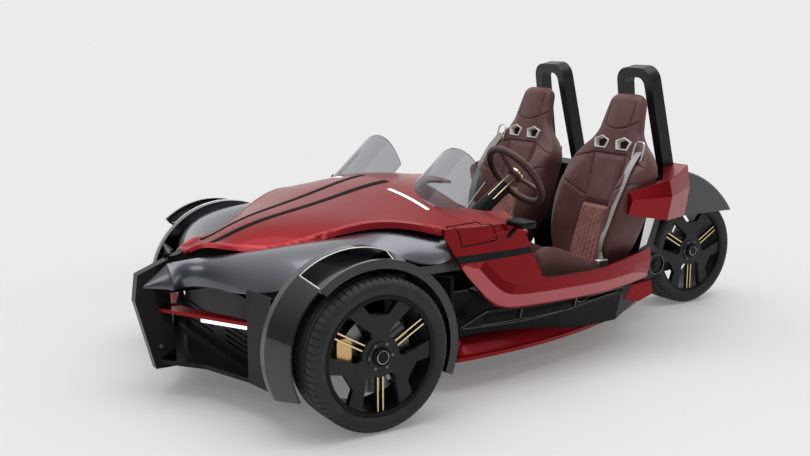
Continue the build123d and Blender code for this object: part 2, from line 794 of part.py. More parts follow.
# Gloss shoulders from the prow, under the hood's edge, to the scuttle
SHOULDER = (
    # station, top y, top z, low y, low z, bulge
    (520.0, PROW_HALF_W, 548.0, 105.0, 452.0, 16.0),
    (360.0, 88.0, 572.0, 255.0, 466.0, 30.0),
    (200.0, 205.0, 598.0, 622.0, 553.0, 50.0),
    (0.0, 385.0, 652.0, 626.0, 622.0, 24.0),
    (-250.0, 520.0, 690.0, 645.0, 590.0, 14.0),
    (-440.0, 640.0, 650.0, 668.0, 588.0, 6.0),
)
with BuildPart() as shoulder_left:
    for x, top_y, top_z, low_y, low_z, bulge in SHOULDER:
        with BuildSketch(Plane.YZ.offset(station(x))):
            curved_strip((top_y, top_z), (low_y, low_z), bulge, SHOULDER_SKIN)
    loft()
    add(fender_left.part, mode=Mode.SUBTRACT)
    add(hood.part, mode=Mode.SUBTRACT)
    add(panel_whole.part, mode=Mode.SUBTRACT)
shoulders = both_sides(shoulder_left, "nose_shoulders")

# Prow, splitter and cheeks round the two mouths
nose_x, _, nose_z, _ = HOOD[0]
PROW_EDGE = (
    # station, height
    (PROW_BOTTOM_X, PROW_BOTTOM_Z),
    (FRONT_OVERHANG, 405.0),
    (641.0, PROW_TOP_Z),
    (nose_x + HOOD_GAP, nose_z),
    (nose_x + HOOD_GAP, nose_z - 50.0),
    (510.0, 430.0),
    (490.0, PROW_BOTTOM_Z),
)
SPLITTER_PLAN = (
    # station, y
    (PROW_BOTTOM_X, 0.0),
    (430.0, 190.0),
    (CHEEK_IN_X, CHEEK_Y),
    (CHEEK_OUT_X, CHEEK_OUT_Y),
    (278.0, CHEEK_OUT_Y),
    (240.0, 445.0),
    (240.0, 0.0),
)
CHEEK_PLAN = (
    # station, y
    (CHEEK_IN_X, CHEEK_Y),
    (CHEEK_OUT_X, CHEEK_OUT_Y),
    (CHEEK_OUT_X - CHEEK_THICK, CHEEK_OUT_Y),
    (CHEEK_IN_X - CHEEK_THICK, CHEEK_Y),
)
with BuildPart() as fascia:
    with BuildSketch(Plane.XZ):
        with BuildLine():
            Polyline(*[(station(x), z) for x, z in PROW_EDGE], close=True)
        make_face()
    extrude(amount=PROW_HALF_W, both=True)
    with BuildSketch(Plane.XZ):
        with Locations((station(TOW_EYE_X), TOW_EYE_Z)):
            Circle(TOW_EYE_R)
    extrude(amount=PROW_HALF_W, both=True, mode=Mode.SUBTRACT)
    with BuildSketch(Plane.XY.offset(FLOOR_Z - SPLITTER_THICK)):
        with BuildLine():
            Polyline(*[(station(x), y) for x, y in SPLITTER_PLAN], close=True)
        make_face()
        mirror(about=Plane.XZ)
    extrude(amount=SPLITTER_THICK)
    with BuildSketch(Plane.XY.offset(FLOOR_Z)):
        with BuildLine():
            Polyline(*[(station(x), y) for x, y in CHEEK_PLAN], close=True)
        make_face()
        mirror(about=Plane.XZ)
    extrude(amount=CHEEK_TOP_Z - FLOOR_Z)
    add(shoulders.part, mode=Mode.SUBTRACT)
    add(fenders.part, mode=Mode.SUBTRACT)
save(fascia, "front_fascia")

# Red blades and light bars across the mouths
with BuildPart() as blades:
    with BuildSketch(Plane.XY.offset(BLADE_Z)):
        with BuildLine():
            Polyline((station(BLADE_ROOT_X), PROW_HALF_W), (station(BLADE_TIP_X), CHEEK_Y),
                     (station(BLADE_TIP_X - BLADE_TIP_L), CHEEK_Y),
                     (station(BLADE_ROOT_X - BLADE_ROOT_L), PROW_HALF_W), close=True)
        make_face()
        mirror(about=Plane.XZ)
    extrude(amount=BLADE_THICK)
    add(fascia.part, mode=Mode.SUBTRACT)
save(blades, "front_blades")
blade_lead = (BLADE_ROOT_X - BLADE_TIP_X) / (CHEEK_Y - PROW_HALF_W)
lamp_root_x = BLADE_ROOT_X - LAMP_SET_IN
with BuildPart() as head_lamps:
    with BuildSketch(Plane.XY.offset(BLADE_Z - LAMP_BAR_H)):
        with BuildLine():
            in_x = station(lamp_root_x - blade_lead * (LAMP_IN_Y - PROW_HALF_W))
            out_x = station(lamp_root_x - blade_lead * (LAMP_OUT_Y - PROW_HALF_W))
            Polyline((in_x, LAMP_IN_Y), (out_x, LAMP_OUT_Y), (out_x - LAMP_DEPTH, LAMP_OUT_Y),
                     (in_x - LAMP_DEPTH, LAMP_IN_Y), close=True)
        make_face()
        mirror(about=Plane.XZ)
    extrude(amount=LAMP_BAR_H)
save(head_lamps, "head_lamps")

# Grille of level bars in front of the battery
with BuildPart() as grille:
    with BuildSketch(Plane.YZ.offset(station(GRILLE_X))):
        with Locations((0, (floor_top + GRILLE_TOP_Z) / 2)):
            Rectangle(2 * GRILLE_HALF_W, GRILLE_TOP_Z - floor_top)
    extrude(amount=GRILLE_BAR)
    with BuildSketch(Plane.YZ.offset(station(GRILLE_X))):
        with Locations((0, GRILLE_LOW_Z + GRILLE_ROWS * GRILLE_PITCH / 2)):
            with GridLocations(CHEEK_Y, GRILLE_PITCH, 2, GRILLE_ROWS):
                Rectangle(GRILLE_SLOT_L, GRILLE_BAR)
    extrude(amount=GRILLE_BAR, mode=Mode.SUBTRACT)
save(grille, "nose_grille")

# Floor tub: boat-tailed floor, flared cockpit walls, firewall, centre tunnel
TUB_PLAN = (
    # station, half width at the floor, half width at the sill
    (-ARCH_X, LINER_Y, LINER_Y),
    (TUB_DOOR_X, 580.0, 610.0),
    (-1060.0, 575.0, 645.0),
    (-1440.0, 545.0, 615.0),
    (BULKHEAD_X, 380.0, 505.0),
)
NOSE_FLOOR = (
    # station, half width
    (ARCH_X, GRILLE_HALF_W),
    (290.0, LINER_Y),
    (-ARCH_X, LINER_Y),
)
LEDGE_INNER = (
    # station, y
    (-1440.0, 602.0),
    (-1060.0, 630.0),
    (-600.0, 605.0),
)
tub_top = SILL_Z - SKIN


def plan_face(height, rows):
    """Closed plan at a height, from rows of station and half width."""
    left = [(station(x), half) for x, half in rows]
    right = [(x, -y) for x, y in reversed(left)]
    with BuildSketch(Plane.XY.offset(height)) as plan:
        with BuildLine():
            Polyline(*left, *right, close=True)
        make_face()
    return plan.sketch.face()


floor_rows = [(x, low) for x, low, _ in TUB_PLAN]
sill_rows = [(x, high) for x, _, high in TUB_PLAN]
hollow_x = -ARCH_X - SKIN
floor_hollow = [(min(x, hollow_x), half - TUB_WALL) for x, half in floor_rows]
sill_hollow = [(min(x, hollow_x), half - TUB_WALL) for x, half in sill_rows]
with BuildPart() as tub:
    loft([plan_face(FLOOR_Z, floor_rows), plan_face(tub_top, sill_rows)], ruled=True)
    hollow = [plan_face(floor_top, floor_hollow), plan_face(tub_top, sill_hollow)]
    loft(hollow, ruled=True, mode=Mode.SUBTRACT)
    extrude(plan_face(FLOOR_Z, NOSE_FLOOR), amount=FLOOR_THICK)
    with BuildSketch(Plane.XY.offset(floor_top)):
        with Locations((station((hollow_x + BULKHEAD_X) / 2), 0)):
            Rectangle(hollow_x - BULKHEAD_X, 2 * TUNNEL_HALF_W)
    extrude(amount=TUNNEL_Z - floor_top)
    with BuildSketch(Plane.XY.offset(tub_top)):
        with Locations((station(-ARCH_X - SKIN / 2), 0)):
            Rectangle(SKIN, 2 * (LINER_Y - TUB_WALL))
    extrude(amount=FIREWALL_TOP_Z - tub_top)
    with BuildSketch(Plane.XY.offset(tub_top)):
        with BuildLine():
            rim = [(station(x), y - PANEL_WALL / 2) for x, y in PANEL_PLAN]
            ThreePointArc(*rim)
            Polyline(rim[2], *[(station(x), y) for x, y in LEDGE_INNER], rim[0])
        make_face()
        with Locations((station(LEDGE_FROM_X), 0)):
            Rectangle(HIGH, HIGH, align=(Align.MIN, Align.CENTER), mode=Mode.SUBTRACT)
        mirror(about=Plane.XZ)
    extrude(amount=SKIN)
    add(side_walls.part, mode=Mode.SUBTRACT)
    with BuildSketch(Plane.XY.offset(FLOOR_Z)):
        with Locations((station(JACK_X), JACK_Y), (station(JACK_X), -JACK_Y)):
            Circle(JACK_R)
    extrude(amount=-JACK_DROP)
with BuildPart() as tub_whole:
    add(largest(tub))
save(tub_whole, "floor_tub")

# Wheel-arch liners: inner wall with a window for the arms, slatted rear wall
LINER_PLAN = (
    # station, y
    (LINER_FRONT_X, LINER_Y),
    (LINER_KINK_X, LINER_Y),
    (LINER_REAR_X, LINER_REAR_Y),
    (LINER_REAR_X - LINER_BACK, LINER_REAR_Y),
    (FIT - ARCH_X, LINER_Y + 4 * FIT),
    (FIT - ARCH_X, LINER_Y - LINER_WALL),
    (LINER_FRONT_X, LINER_Y - LINER_WALL),
)
with BuildPart() as liner_left:
    with BuildSketch(Plane.XY.offset(floor_top)):
        with BuildLine():
            Polyline(*[(station(x), y) for x, y in LINER_PLAN], close=True)
        make_face()
    extrude(amount=LINER_TOP_Z - floor_top)
    with BuildSketch(Plane.XZ):
        with Locations((station(0), ARM_WINDOW_Z)):
            Rectangle(ARM_WINDOW_L, ARM_WINDOW_H)
    extrude(amount=-HIGH, mode=Mode.SUBTRACT)
both_sides(liner_left, "arch_liners")

# Rear body: bulkhead tapering to the swingarm pivot
motor_axis = Vector(station(PIVOT_X), 0, PIVOT_Z)
with BuildPart() as rear_body:
    REAR_SECTIONS = (
        # station, low z, top z, half width low, half width top
        (BULKHEAD_X, FLOOR_Z, DECK_Z, 345.0, 500.0),
        ((BULKHEAD_X + TAIL_X) / 2, FLOOR_Z + 30.0, DECK_Z, 285.0, 470.0),
        (TAIL_X, PIVOT_Z - TAIL_DROP, DECK_Z - TAIL_DROP, 150.0, 200.0),
    )
    for x, low_z, top_z, low_half, top_half in REAR_SECTIONS:
        with BuildSketch(Plane.YZ.offset(station(x))):
            with BuildLine():
                Polyline((low_half, low_z), (top_half, top_z), (-top_half, top_z), (-low_half, low_z),
                         close=True)
            make_face()
    loft(ruled=True)
    with BuildSketch(Plane.XZ.offset(-HIGH / 2)):
        with Locations((motor_axis.X, motor_axis.Z)):
            Circle(MOTOR_R + FIT)
    extrude(amount=HIGH, mode=Mode.SUBTRACT)
save(rear_body, "rear_body")

# Side ducts: ladder frames under the sills
DUCT_LEVELS = (
    # height, tuck-in
    (255.0, 34.0),
    (345.0, 10.0),
)
DUCT_EDGE = (
    # station, height
    (-484.0, 277.0),
    (-500.0, 266.0),
    (-880.0, 258.0),
    (-1480.0, 288.0),
    (-1480.0, 340.0),
    (-613.0, 344.0),
)
DUCT_WINDOWS = (
    # front station, rear station, low height, top height
    (-590.0, -780.0, 278.0, 326.0),
    (-800.0, -1100.0, 276.0, 320.0),
    (-1120.0, -1440.0, 298.0, 316.0),
)
with BuildPart() as duct_left:
    side_wall(DUCT_TUCK, DUCT_LEVELS)
    with BuildSketch(Plane.XZ):
        with BuildLine():
            Polyline(*[(station(x), z) for x, z in DUCT_EDGE], close=True)
        make_face()
        for front_x, rear_x, low_z, top_z in DUCT_WINDOWS:
            with Locations((station((front_x + rear_x) / 2), (low_z + top_z) / 2)):
                Rectangle(front_x - rear_x, top_z - low_z, mode=Mode.SUBTRACT)
    extrude(amount=-HIGH, mode=Mode.INTERSECT)
    add(panel_whole.part, mode=Mode.SUBTRACT)
    add(tub.part, mode=Mode.SUBTRACT)
with BuildPart() as duct_frame:
    add(largest(duct_left))
both_sides(duct_frame, "side_ducts")

# Red skirts under the floor's edges, each with a winglet on the tub's rear corner
SKIRT_INNER = (
    # station, y
    (-1780.0, 330.0),
    (-1720.0, 300.0),
    (-1060.0, 480.0),
    (-345.0, 500.0),
    (-345.0, 540.0),
    (-480.0, 655.0),
)
SKIRT_MIDDLE = (-1100.0, 600.0)
WINGLET_EDGE = (
    # station, height
    (-1521.0, 228.0),
    (-1548.0, 290.0),
    (-1690.0, 300.0),
    (-1700.0, 232.0),
    (-1612.0, 206.0),
)
with BuildPart() as skirt_left:
    with BuildSketch(Plane.XY.offset(FLOOR_Z - SKIRT_THICK)):
        with BuildLine():
            skirt = [(station(x), y) for x, y in SKIRT_INNER]
            Polyline(*skirt)
            ThreePointArc(skirt[-1], (station(SKIRT_MIDDLE[0]), SKIRT_MIDDLE[1]), skirt[0])
        make_face()
    extrude(amount=SKIRT_THICK)
    with BuildSketch(Plane.XZ.offset(-WINGLET_IN_Y)):
        with BuildLine():
            Polyline(*[(station(x), z) for x, z in WINGLET_EDGE], close=True)
        make_face()
    extrude(amount=-WINGLET_W)
    add(tub.part, mode=Mode.SUBTRACT)
    add(rear_body.part, mode=Mode.SUBTRACT)
both_sides(skirt_left, "side_skirts")

# Curved screens, one for each seat
rake = tan(radians(SCREEN_RAKE))
with BuildPart() as screen:
    for rise, half in ((0.0, SCREEN_HALF_W), (SCREEN_H, SCREEN_TOP_HALF)):
        x = station(SCREEN_BASE_X) - rise * rake
        low_y = SEAT_Y - half
        high_y = SEAT_Y + half
        with BuildSketch(Plane.XY.offset(SCREEN_BASE_Z + rise)):
            with BuildLine():
                ThreePointArc((x - SCREEN_SAG, low_y), (x, SEAT_Y), (x - SCREEN_SAG, high_y))
                Line((x - SCREEN_SAG, high_y), (x - SCREEN_SAG - SCREEN_THICK, high_y))
                ThreePointArc((x - SCREEN_SAG - SCREEN_THICK, high_y), (x - SCREEN_THICK, SEAT_Y),
                              (x - SCREEN_SAG - SCREEN_THICK, low_y))
                Line((x - SCREEN_SAG - SCREEN_THICK, low_y), (x - SCREEN_SAG, low_y))
            make_face()
    loft()
    with BuildSketch(Plane.YZ.offset(station(SCREEN_BASE_X))):
        with Locations((SEAT_Y, SCREEN_BASE_Z + SCREEN_H - SCREEN_HALF_W)):
            RectangleRounded(2 * SCREEN_HALF_W, 2 * SCREEN_HALF_W, SCREEN_ROUND)
    extrude(amount=SCREEN_H, both=True, mode=Mode.INTERSECT)
    add(hood_cut.part, mode=Mode.SUBTRACT)
with BuildPart() as screen_top:
    add(screen.part.solids().sort_by(Axis.Z)[-1])
both_sides(screen_top, "windscreens")

# Dashboard beam with the steering column's tube
hub = Vector(station(WHEEL_HUB_X), SEAT_Y, WHEEL_HUB_Z)
column_dir = Vector(cos(radians(COLUMN_RAKE)), 0, -sin(radians(COLUMN_RAKE)))
with BuildPart() as dash:
    with BuildSketch(Plane.XZ.offset(DASH_HALF_W)):
        with BuildLine():
            Polyline(*[(station(x), z) for x, z in DASH_EDGE], close=True)
        make_face()
    extrude(amount=-2 * DASH_HALF_W)
    tube(hub + column_dir * COLUMN_CLEAR, hub + column_dir * (COLUMN_LENGTH + COLUMN_SEAT),
         COLUMN_R + COLUMN_TUBE_WALL)
    with BuildSketch(Plane(origin=hub, z_dir=column_dir)):
        Circle(COLUMN_R + RUN)
    extrude(amount=COLUMN_LENGTH + COLUMN_END_GAP, mode=Mode.SUBTRACT)
    add(hood_cut.part, mode=Mode.SUBTRACT)
    add(side_walls.part, mode=Mode.SUBTRACT)
with BuildPart() as dash_whole:
    add(largest(dash))
save(dash_whole, "dashboard")

# Steering wheel and its shaft
with BuildPart() as steering_wheel:
    wheel_plane = Plane(origin=hub, x_dir=(0, 1, 0), z_dir=column_dir)
    with BuildSketch(Plane(origin=hub, x_dir=(0, 1, 0), z_dir=wheel_plane.y_dir)):
        with Locations((WHEEL_RIM_R, 0)):
            RegularPolygon(WHEEL_GRIP_R, GRIP_FACES)
    revolve(axis=Axis(hub, column_dir))
    with BuildSketch(wheel_plane):
        Circle(WHEEL_BOSS_R)
        with PolarLocations(WHEEL_RIM_R / 2, 3, start_angle=90):
            Rectangle(WHEEL_RIM_R, WHEEL_SPOKE_W)
    extrude(amount=WHEEL_PLATE, both=True)
    tube(hub - column_dir * WHEEL_BOSS_PROUD, hub + column_dir * COLUMN_LENGTH, COLUMN_R)
save(steering_wheel, "steering_wheel")

# Pedals on the firewall
pedal_x = station(-ARCH_X - SKIN)
with BuildPart() as pedals:
    for y in (SEAT_Y - PEDAL_SPREAD, SEAT_Y + PEDAL_SPREAD):
        with Locations((pedal_x - PEDAL_ARM_L / 2, y, PEDAL_Z)):
            Box(PEDAL_ARM_L, PEDAL_ARM_W, PEDAL_ARM_H)
        with Locations((pedal_x - PEDAL_ARM_L, y, PEDAL_Z)):
            Box(PEDAL_THICK, PEDAL_W, PEDAL_H)
save(pedals, "pedals")


# One-piece bucket seats: shell back with belt ports, side bolsters and cushion
SEAT_BACK = (
    # height up the back, half width
    (-90.0, 150.0),
    (120.0, 205.0),
    (340.0, SEAT_HALF_W),
    (580.0, 248.0),
    (700.0, 138.0),
    (SEAT_BACK_H, 96.0),
)
BOLSTER_EDGE = (
    # height up the back, out of the back
    (540.0, 0.0),
    (500.0, 50.0),
    (230.0, 95.0),
    (60.0, 86.0),
    (40.0, -30.0),
    (540.0, -30.0),
)
CUSHION_EDGE = (
    # station, height
    (SEAT_FRONT_X, CUSHION_Z + 100.0),
    (SEAT_FRONT_X + 8.0, CUSHION_Z - 10.0),
    (SEAT_FRONT_X - 60.0, SEAT_BASE_Z),
    (SEAT_HIP_X - 60.0, SEAT_BASE_Z),
    (SEAT_HIP_X - 20.0, CUSHION_Z),
)
THIGH_EDGE = (
    # station, height
    (SEAT_FRONT_X - 10.0, CUSHION_Z + 140.0),
    (SEAT_FRONT_X - 90.0, CUSHION_Z + 218.0),
    (SEAT_HIP_X + 20.0, CUSHION_Z + 115.0),
    (SEAT_HIP_X + 20.0, CUSHION_Z - 30.0),
    (SEAT_FRONT_X - 10.0, CUSHION_Z - 30.0),
)
BELT_PORT = (
    # across the back, up the back
    (0.0, 28.0),
    (44.0, 12.0),
    (32.0, -24.0),
    (-32.0, -24.0),
    (-44.0, 12.0),
)


def build_seat(name, side):
    seat_y = side * SEAT_Y
    hip = (station(SEAT_HIP_X), seat_y, CUSHION_Z)
    back = Plane(origin=hip, x_dir=(0, 1, 0), z_dir=(cos(lean), 0, sin(lean)))
    riser_low = floor_top + FIT
    side_views = [(seat_y, CUSHION_EDGE, CUSHION_HALF_W)]
    for edge in (1, -1):
        thigh_y = seat_y + edge * (CUSHION_HALF_W - BOLSTER_W / 2)
        side_views.append((thigh_y, THIGH_EDGE, BOLSTER_W / 2))
    with BuildPart() as seat:
        with BuildSketch(back):
            with BuildLine():
                Polyline(*[(half, rise) for rise, half in SEAT_BACK],
                         *[(-half, rise) for rise, half in reversed(SEAT_BACK)], close=True)
            make_face()
        extrude(amount=-SEAT_BACK_THICK)
        with BuildSketch(back.offset(-SEAT_BACK_THICK)):
            with Locations((0, SEAT_BACK_H)):
                Rectangle(4 * SEAT_HALF_W, 2 * HEADREST_CUT)
        extrude(amount=HEADREST_THIN, mode=Mode.SUBTRACT)
        for y, outline, half in side_views:
            with BuildSketch(Plane(origin=(0, y, 0), x_dir=(1, 0, 0), z_dir=(0, -1, 0))):
                with BuildLine():
                    Polyline(*[(station(x), z) for x, z in outline], close=True)
                make_face()
            extrude(amount=half, both=True)
        with BuildSketch(Plane.XY.offset(riser_low)):
            with Locations((station((SEAT_FRONT_X + SEAT_HIP_X) / 2), seat_y)):
                Rectangle(SEAT_RISER_L, 2 * SEAT_RISER_HALF)
        extrude(amount=CUSHION_Z - riser_low)
        for edge in (1, -1):
            wing_y = seat_y + edge * (SEAT_HALF_W - BOLSTER_W / 2 - BOLSTER_IN)
            wing_root = (station(SEAT_HIP_X), wing_y, CUSHION_Z)
            with BuildSketch(Plane(origin=wing_root, x_dir=back.z_dir, z_dir=(0, -1, 0))):
                with BuildLine():
                    Polyline(*[(out, rise) for rise, out in BOLSTER_EDGE], close=True)
                make_face()
            extrude(amount=BOLSTER_W / 2, both=True)
        with BuildSketch(back):
            with Locations((-BELT_PORT_Y, BELT_PORT_RISE), (BELT_PORT_Y, BELT_PORT_RISE)):
                Polygon(*BELT_PORT, align=None)
        extrude(amount=-2 * SEAT_BACK_THICK, mode=Mode.SUBTRACT)
    save(seat, name)


for name, side in SIDES:
    build_seat(f"seat_{name}", side)

# Drive motor across the swingarm pivot, with its round side cap
with BuildPart() as motor:
    tube(motor_axis - Vector(0, MOTOR_HALF_W), motor_axis + Vector(0, MOTOR_HALF_W), MOTOR_R)
    tube(motor_axis + Vector(0, MOTOR_HALF_W), motor_axis + Vector(0, MOTOR_HALF_W + CAP_OUT), CAP_R)
save(motor, "drive_motor")

# Single-sided swingarm on the right, its stub axle in the rear hub
rear_hub_y = faces["rear"] - REAR_HUB_DEPTH
rear_axle_in = (REAR_X, -MOTOR_HALF_W - SWINGARM_W / 2, REAR_TYRE_R)
with BuildPart() as swingarm:
    with BuildSketch(Plane.XZ.offset(MOTOR_HALF_W)):
        with Locations((motor_axis.X, PIVOT_Z)):
            Circle(PIVOT_R)
        with Locations((REAR_X, REAR_TYRE_R)):
            Circle(AXLE_BOSS_R)
        with BuildLine():
            Polyline((motor_axis.X, PIVOT_Z + PIVOT_R), (REAR_X, REAR_TYRE_R + AXLE_BOSS_R),
                     (REAR_X, REAR_TYRE_R - AXLE_BOSS_R), (motor_axis.X, PIVOT_Z - PIVOT_R), close=True)
        make_face()
    extrude(amount=SWINGARM_W)
    tube(rear_axle_in, (REAR_X, rear_hub_y - HUB_FACE_GAP, REAR_TYRE_R), HUB_R - AXLE_BOSS_IN)
    tube(rear_axle_in, (REAR_X, faces["rear"] - SPOKE_THICK - STUB_END_GAP, REAR_TYRE_R), STUB_R)
save(swingarm, "swingarm")

# Rear calliper on the swingarm
rear_disc_y = faces["rear"] - REAR_DISC_FROM_FACE
with BuildPart() as rear_calliper:
    outer_y = rear_disc_y + DISC_THICK + CALLIPER_LIP
    depth = outer_y + MOTOR_HALF_W - FIT
    with Locations((REAR_X + REAR_CALLIPER_X, outer_y - depth / 2, REAR_TYRE_R)):
        Box(CALLIPER_W, depth, REAR_CALLIPER_H)
    fillet(rear_calliper.edges().filter_by(Axis.Y), radius=CALLIPER_ROUND)
    with BuildSketch(wheel_face(REAR_X, rear_disc_y - DISC_AIR, REAR_TYRE_R, 1)):
        Circle(DISC_R + DISC_AIR)
    extrude(amount=DISC_THICK + 2 * DISC_AIR, mode=Mode.SUBTRACT)
save(rear_calliper, "brake_calliper_rear")

# Rear fender: domed shell with closed sides, from the deck over the wheel to the tail tip
fender_front = station(TAIL_X + FENDER_LAP)
fender_rear = REAR_X - TIP_BEHIND


def fender_side(skin):
    """Side view of the fender, taken in by a skin."""
    with BuildLine() as outline:
        ThreePointArc((fender_front, DECK_Z - TAIL_DROP - skin),
                      (REAR_X + CREST_AHEAD, FENDER_CREST_Z - skin), (fender_rear + skin, FENDER_EDGE_Z))
        Polyline((fender_rear + skin, FENDER_EDGE_Z), (fender_front, FENDER_EDGE_Z),
                 (fender_front, DECK_Z - TAIL_DROP - skin))
    make_face(outline.edges())


with BuildPart() as rear_fender:
    with BuildSketch(Plane.XZ):
        fender_side(0)
    extrude(amount=REAR_FENDER_HALF_W, both=True)
    with BuildSketch():
        with BuildLine():
            Polyline((fender_front, REAR_FENDER_HALF_W), (REAR_X, REAR_FENDER_HALF_W),
                     (fender_rear, TIP_HALF_W), (fender_rear, -TIP_HALF_W), (REAR_X, -REAR_FENDER_HALF_W),
                     (fender_front, -REAR_FENDER_HALF_W), close=True)
        make_face()
    extrude(amount=HIGH, mode=Mode.INTERSECT)
    chamfer(rear_fender.edges().filter_by(GeomType.CIRCLE), length=FENDER_BEVEL)
    with BuildSketch(Plane.XZ):
        fender_side(REAR_FENDER_SKIN)
    extrude(amount=REAR_FENDER_HALF_W - REAR_FENDER_SKIN, both=True, mode=Mode.SUBTRACT)
    add(rear_body.part, mode=Mode.SUBTRACT)
save(rear_fender, "rear_fender")

# Roll hoops: deep flat inverted-U sections standing on the deck
lean_back = radians(HOOP_LEAN)
hoop_top_z = seat_top_z + HOOP_OVER_SEAT
hoop_run = (seat_top_z - DECK_Z) * tan(lean_back)
hoop_base_x = seat_rear_x - HOOP_GAP - HOOP_DEPTH / 2 / cos(lean_back) - hoop_run
hoop_plane = Plane(origin=(station(hoop_base_x), HOOP_Y, DECK_Z), x_dir=(0, 1, 0),
                   z_dir=(cos(lean_back), 0, -sin(lean_back)))
hoop_rise = (hoop_top_z - DECK_Z) / cos(lean_back)
HOOP_LINES = (
    # half width at the deck, half width on top, height, corner radius, mode
    (HOOP_HALF_W, HOOP_TOP_HALF, hoop_rise, HOOP_ROUND, Mode.ADD),
    (HOOP_HALF_W - HOOP_LEG_W, HOOP_TOP_HALF - HOOP_LEG_W, hoop_rise - HOOP_LEG_W, HOOP_ROUND_IN,
     Mode.SUBTRACT),
)
with BuildPart() as hoop:
    for half, top_half, top, rounding, mode in HOOP_LINES:
        with BuildSketch(hoop_plane) as arch:
            with BuildLine():
                Polyline((-half, -HOOP_SINK), (-top_half, top), (top_half, top), (half, -HOOP_SINK),
                         close=True)
            make_face()
            fillet(arch.vertices().group_by(Axis.Y)[-1], radius=rounding)
        extrude(amount=HOOP_DEPTH / 2, both=True, mode=mode)
    add(rear_body.part, mode=Mode.SUBTRACT)
with BuildPart() as hoop_left:
    add(largest(hoop))
both_sides(hoop_left, "roll_hoops")

# Red quarter pods beside the seats' shoulders
POD = (
    # station, inner y, outer y, low z, top z
    (-1430.0, 605.0, 640.0, 655.0, 755.0),
    (-1650.0, 600.0, 665.0, 612.0, 800.0),
    (-1870.0, 380.0, 560.0, 600.0, 845.0),
)
with BuildPart() as pod_left:
    for x, in_y, out_y, low_z, top_z in POD:
        with BuildSketch(Plane.YZ.offset(station(x))):
            with BuildLine():
                Polyline((in_y, low_z), (in_y, top_z), (out_y - POD_TOP_IN, top_z),
                         (out_y, (low_z + top_z) / 2 + POD_CREASE), (out_y - POD_LOW_IN, low_z), close=True)
            make_face()
    loft(ruled=True)
    add(rear_body.part, mode=Mode.SUBTRACT)
    add(hoop_left.part, mode=Mode.SUBTRACT)
both_sides(pod_left, "quarter_pods")

# Mirrors on the scuttle's corners
mirror_x = station(MIRROR_X)
with BuildPart() as mirrors:
    with Locations((mirror_x, MIRROR_Y, MIRROR_Z)):
        Box(MIRROR_L, MIRROR_W, MIRROR_H)
    fillet(mirrors.edges().filter_by(Axis.X), radius=MIRROR_ROUND)
    fillet(mirrors.edges().filter_by(Axis.Z), radius=MIRROR_ROUND)
    tube((mirror_x, MIRROR_FOOT_Y, MIRROR_FOOT_Z), (mirror_x, MIRROR_Y, MIRROR_Z), MIRROR_STALK_R)
    add(panel_whole.part, mode=Mode.SUBTRACT)
    add(hood_cut.part, mode=Mode.SUBTRACT)
with BuildPart() as mirror_left:
    add(largest(mirrors))
both_sides(mirror_left, "mirrors")
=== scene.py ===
"""Finished look of the open two-seat three-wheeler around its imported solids, in metres."""
import json
import math

import bmesh
import bpy
import numpy as np
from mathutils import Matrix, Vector
from mathutils.bvhtree import BVHTree


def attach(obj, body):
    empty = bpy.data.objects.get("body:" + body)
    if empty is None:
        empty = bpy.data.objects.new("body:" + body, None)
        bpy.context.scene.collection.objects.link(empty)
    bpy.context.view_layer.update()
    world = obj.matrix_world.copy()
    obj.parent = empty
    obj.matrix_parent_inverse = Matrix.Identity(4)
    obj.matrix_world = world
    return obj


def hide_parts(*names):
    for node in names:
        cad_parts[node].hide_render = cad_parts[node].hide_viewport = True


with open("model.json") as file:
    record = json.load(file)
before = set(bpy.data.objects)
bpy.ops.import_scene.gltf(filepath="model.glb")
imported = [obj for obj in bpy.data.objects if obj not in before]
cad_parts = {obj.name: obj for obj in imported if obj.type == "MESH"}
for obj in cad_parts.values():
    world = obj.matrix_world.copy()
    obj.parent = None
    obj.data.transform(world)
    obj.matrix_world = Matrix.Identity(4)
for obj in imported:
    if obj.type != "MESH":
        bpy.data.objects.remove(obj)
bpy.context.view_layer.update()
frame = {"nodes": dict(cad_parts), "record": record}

nodes = frame["nodes"]
scene = bpy.context.scene

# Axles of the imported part
FRONT_X = 1.0175
REAR_X = -1.3825
WHEEL_Y = 0.770
FRONT_R = 0.295
REAR_R = 0.290
SIDES = (("left", 1), ("right", -1))


def station(x):
    """Place along the part from a distance ahead of the front axle."""
    return FRONT_X + x


# Materials
MOTTLE = 9.0
HAZE = 14.0
DRIFT = 13.0
COAT_ROUGH = 0.045


def add(tree, kind, operation=None, **sockets):
    """Shader node with values on its sockets."""
    node = tree.nodes.new("ShaderNode" + kind)
    if operation:
        node.operation = operation
    for key, value in sockets.items():
        node.inputs[key.replace("_", " ")].default_value = value
    return node


def wire(tree, *rows):
    """Links from rows of node, output, node, input."""
    for source, output, target, socket in rows:
        tree.links.new(source.outputs[output], target.inputs[socket])


def new_material(name, base, rough, metallic=0.0, **sockets):
    """Principled material with uniform values on its own sockets."""
    mat = bpy.data.materials.new(name)
    mat.use_nodes = True
    bsdf = mat.node_tree.nodes["Principled BSDF"]
    bsdf.inputs["Base Color"].default_value = (*base, 1)
    bsdf.inputs["Roughness"].default_value = rough
    bsdf.inputs["Metallic"].default_value = metallic
    for key, value in sockets.items():
        bsdf.inputs[key.replace("_", " ")].default_value = value
    mat.diffuse_color = (*base, 1)
    return mat


def feed(mat, socket, source):
    """Link a source to a socket of the material's shader."""
    mat.node_tree.links.new(source, mat.node_tree.nodes["Principled BSDF"].inputs[socket])


def texture(mat, kind, output, **sockets):
    """Texture in the part's own coordinates."""
    tree = mat.node_tree
    coords = add(tree, "TexCoord")
    tex = add(tree, kind, **sockets)
    wire(tree, (coords, "Object", tex, "Vector"))
    return tex.outputs[output]


def noise(mat, scale, detail=4.0):
    return texture(mat, "TexNoise", "Fac", Scale=scale, Detail=detail)


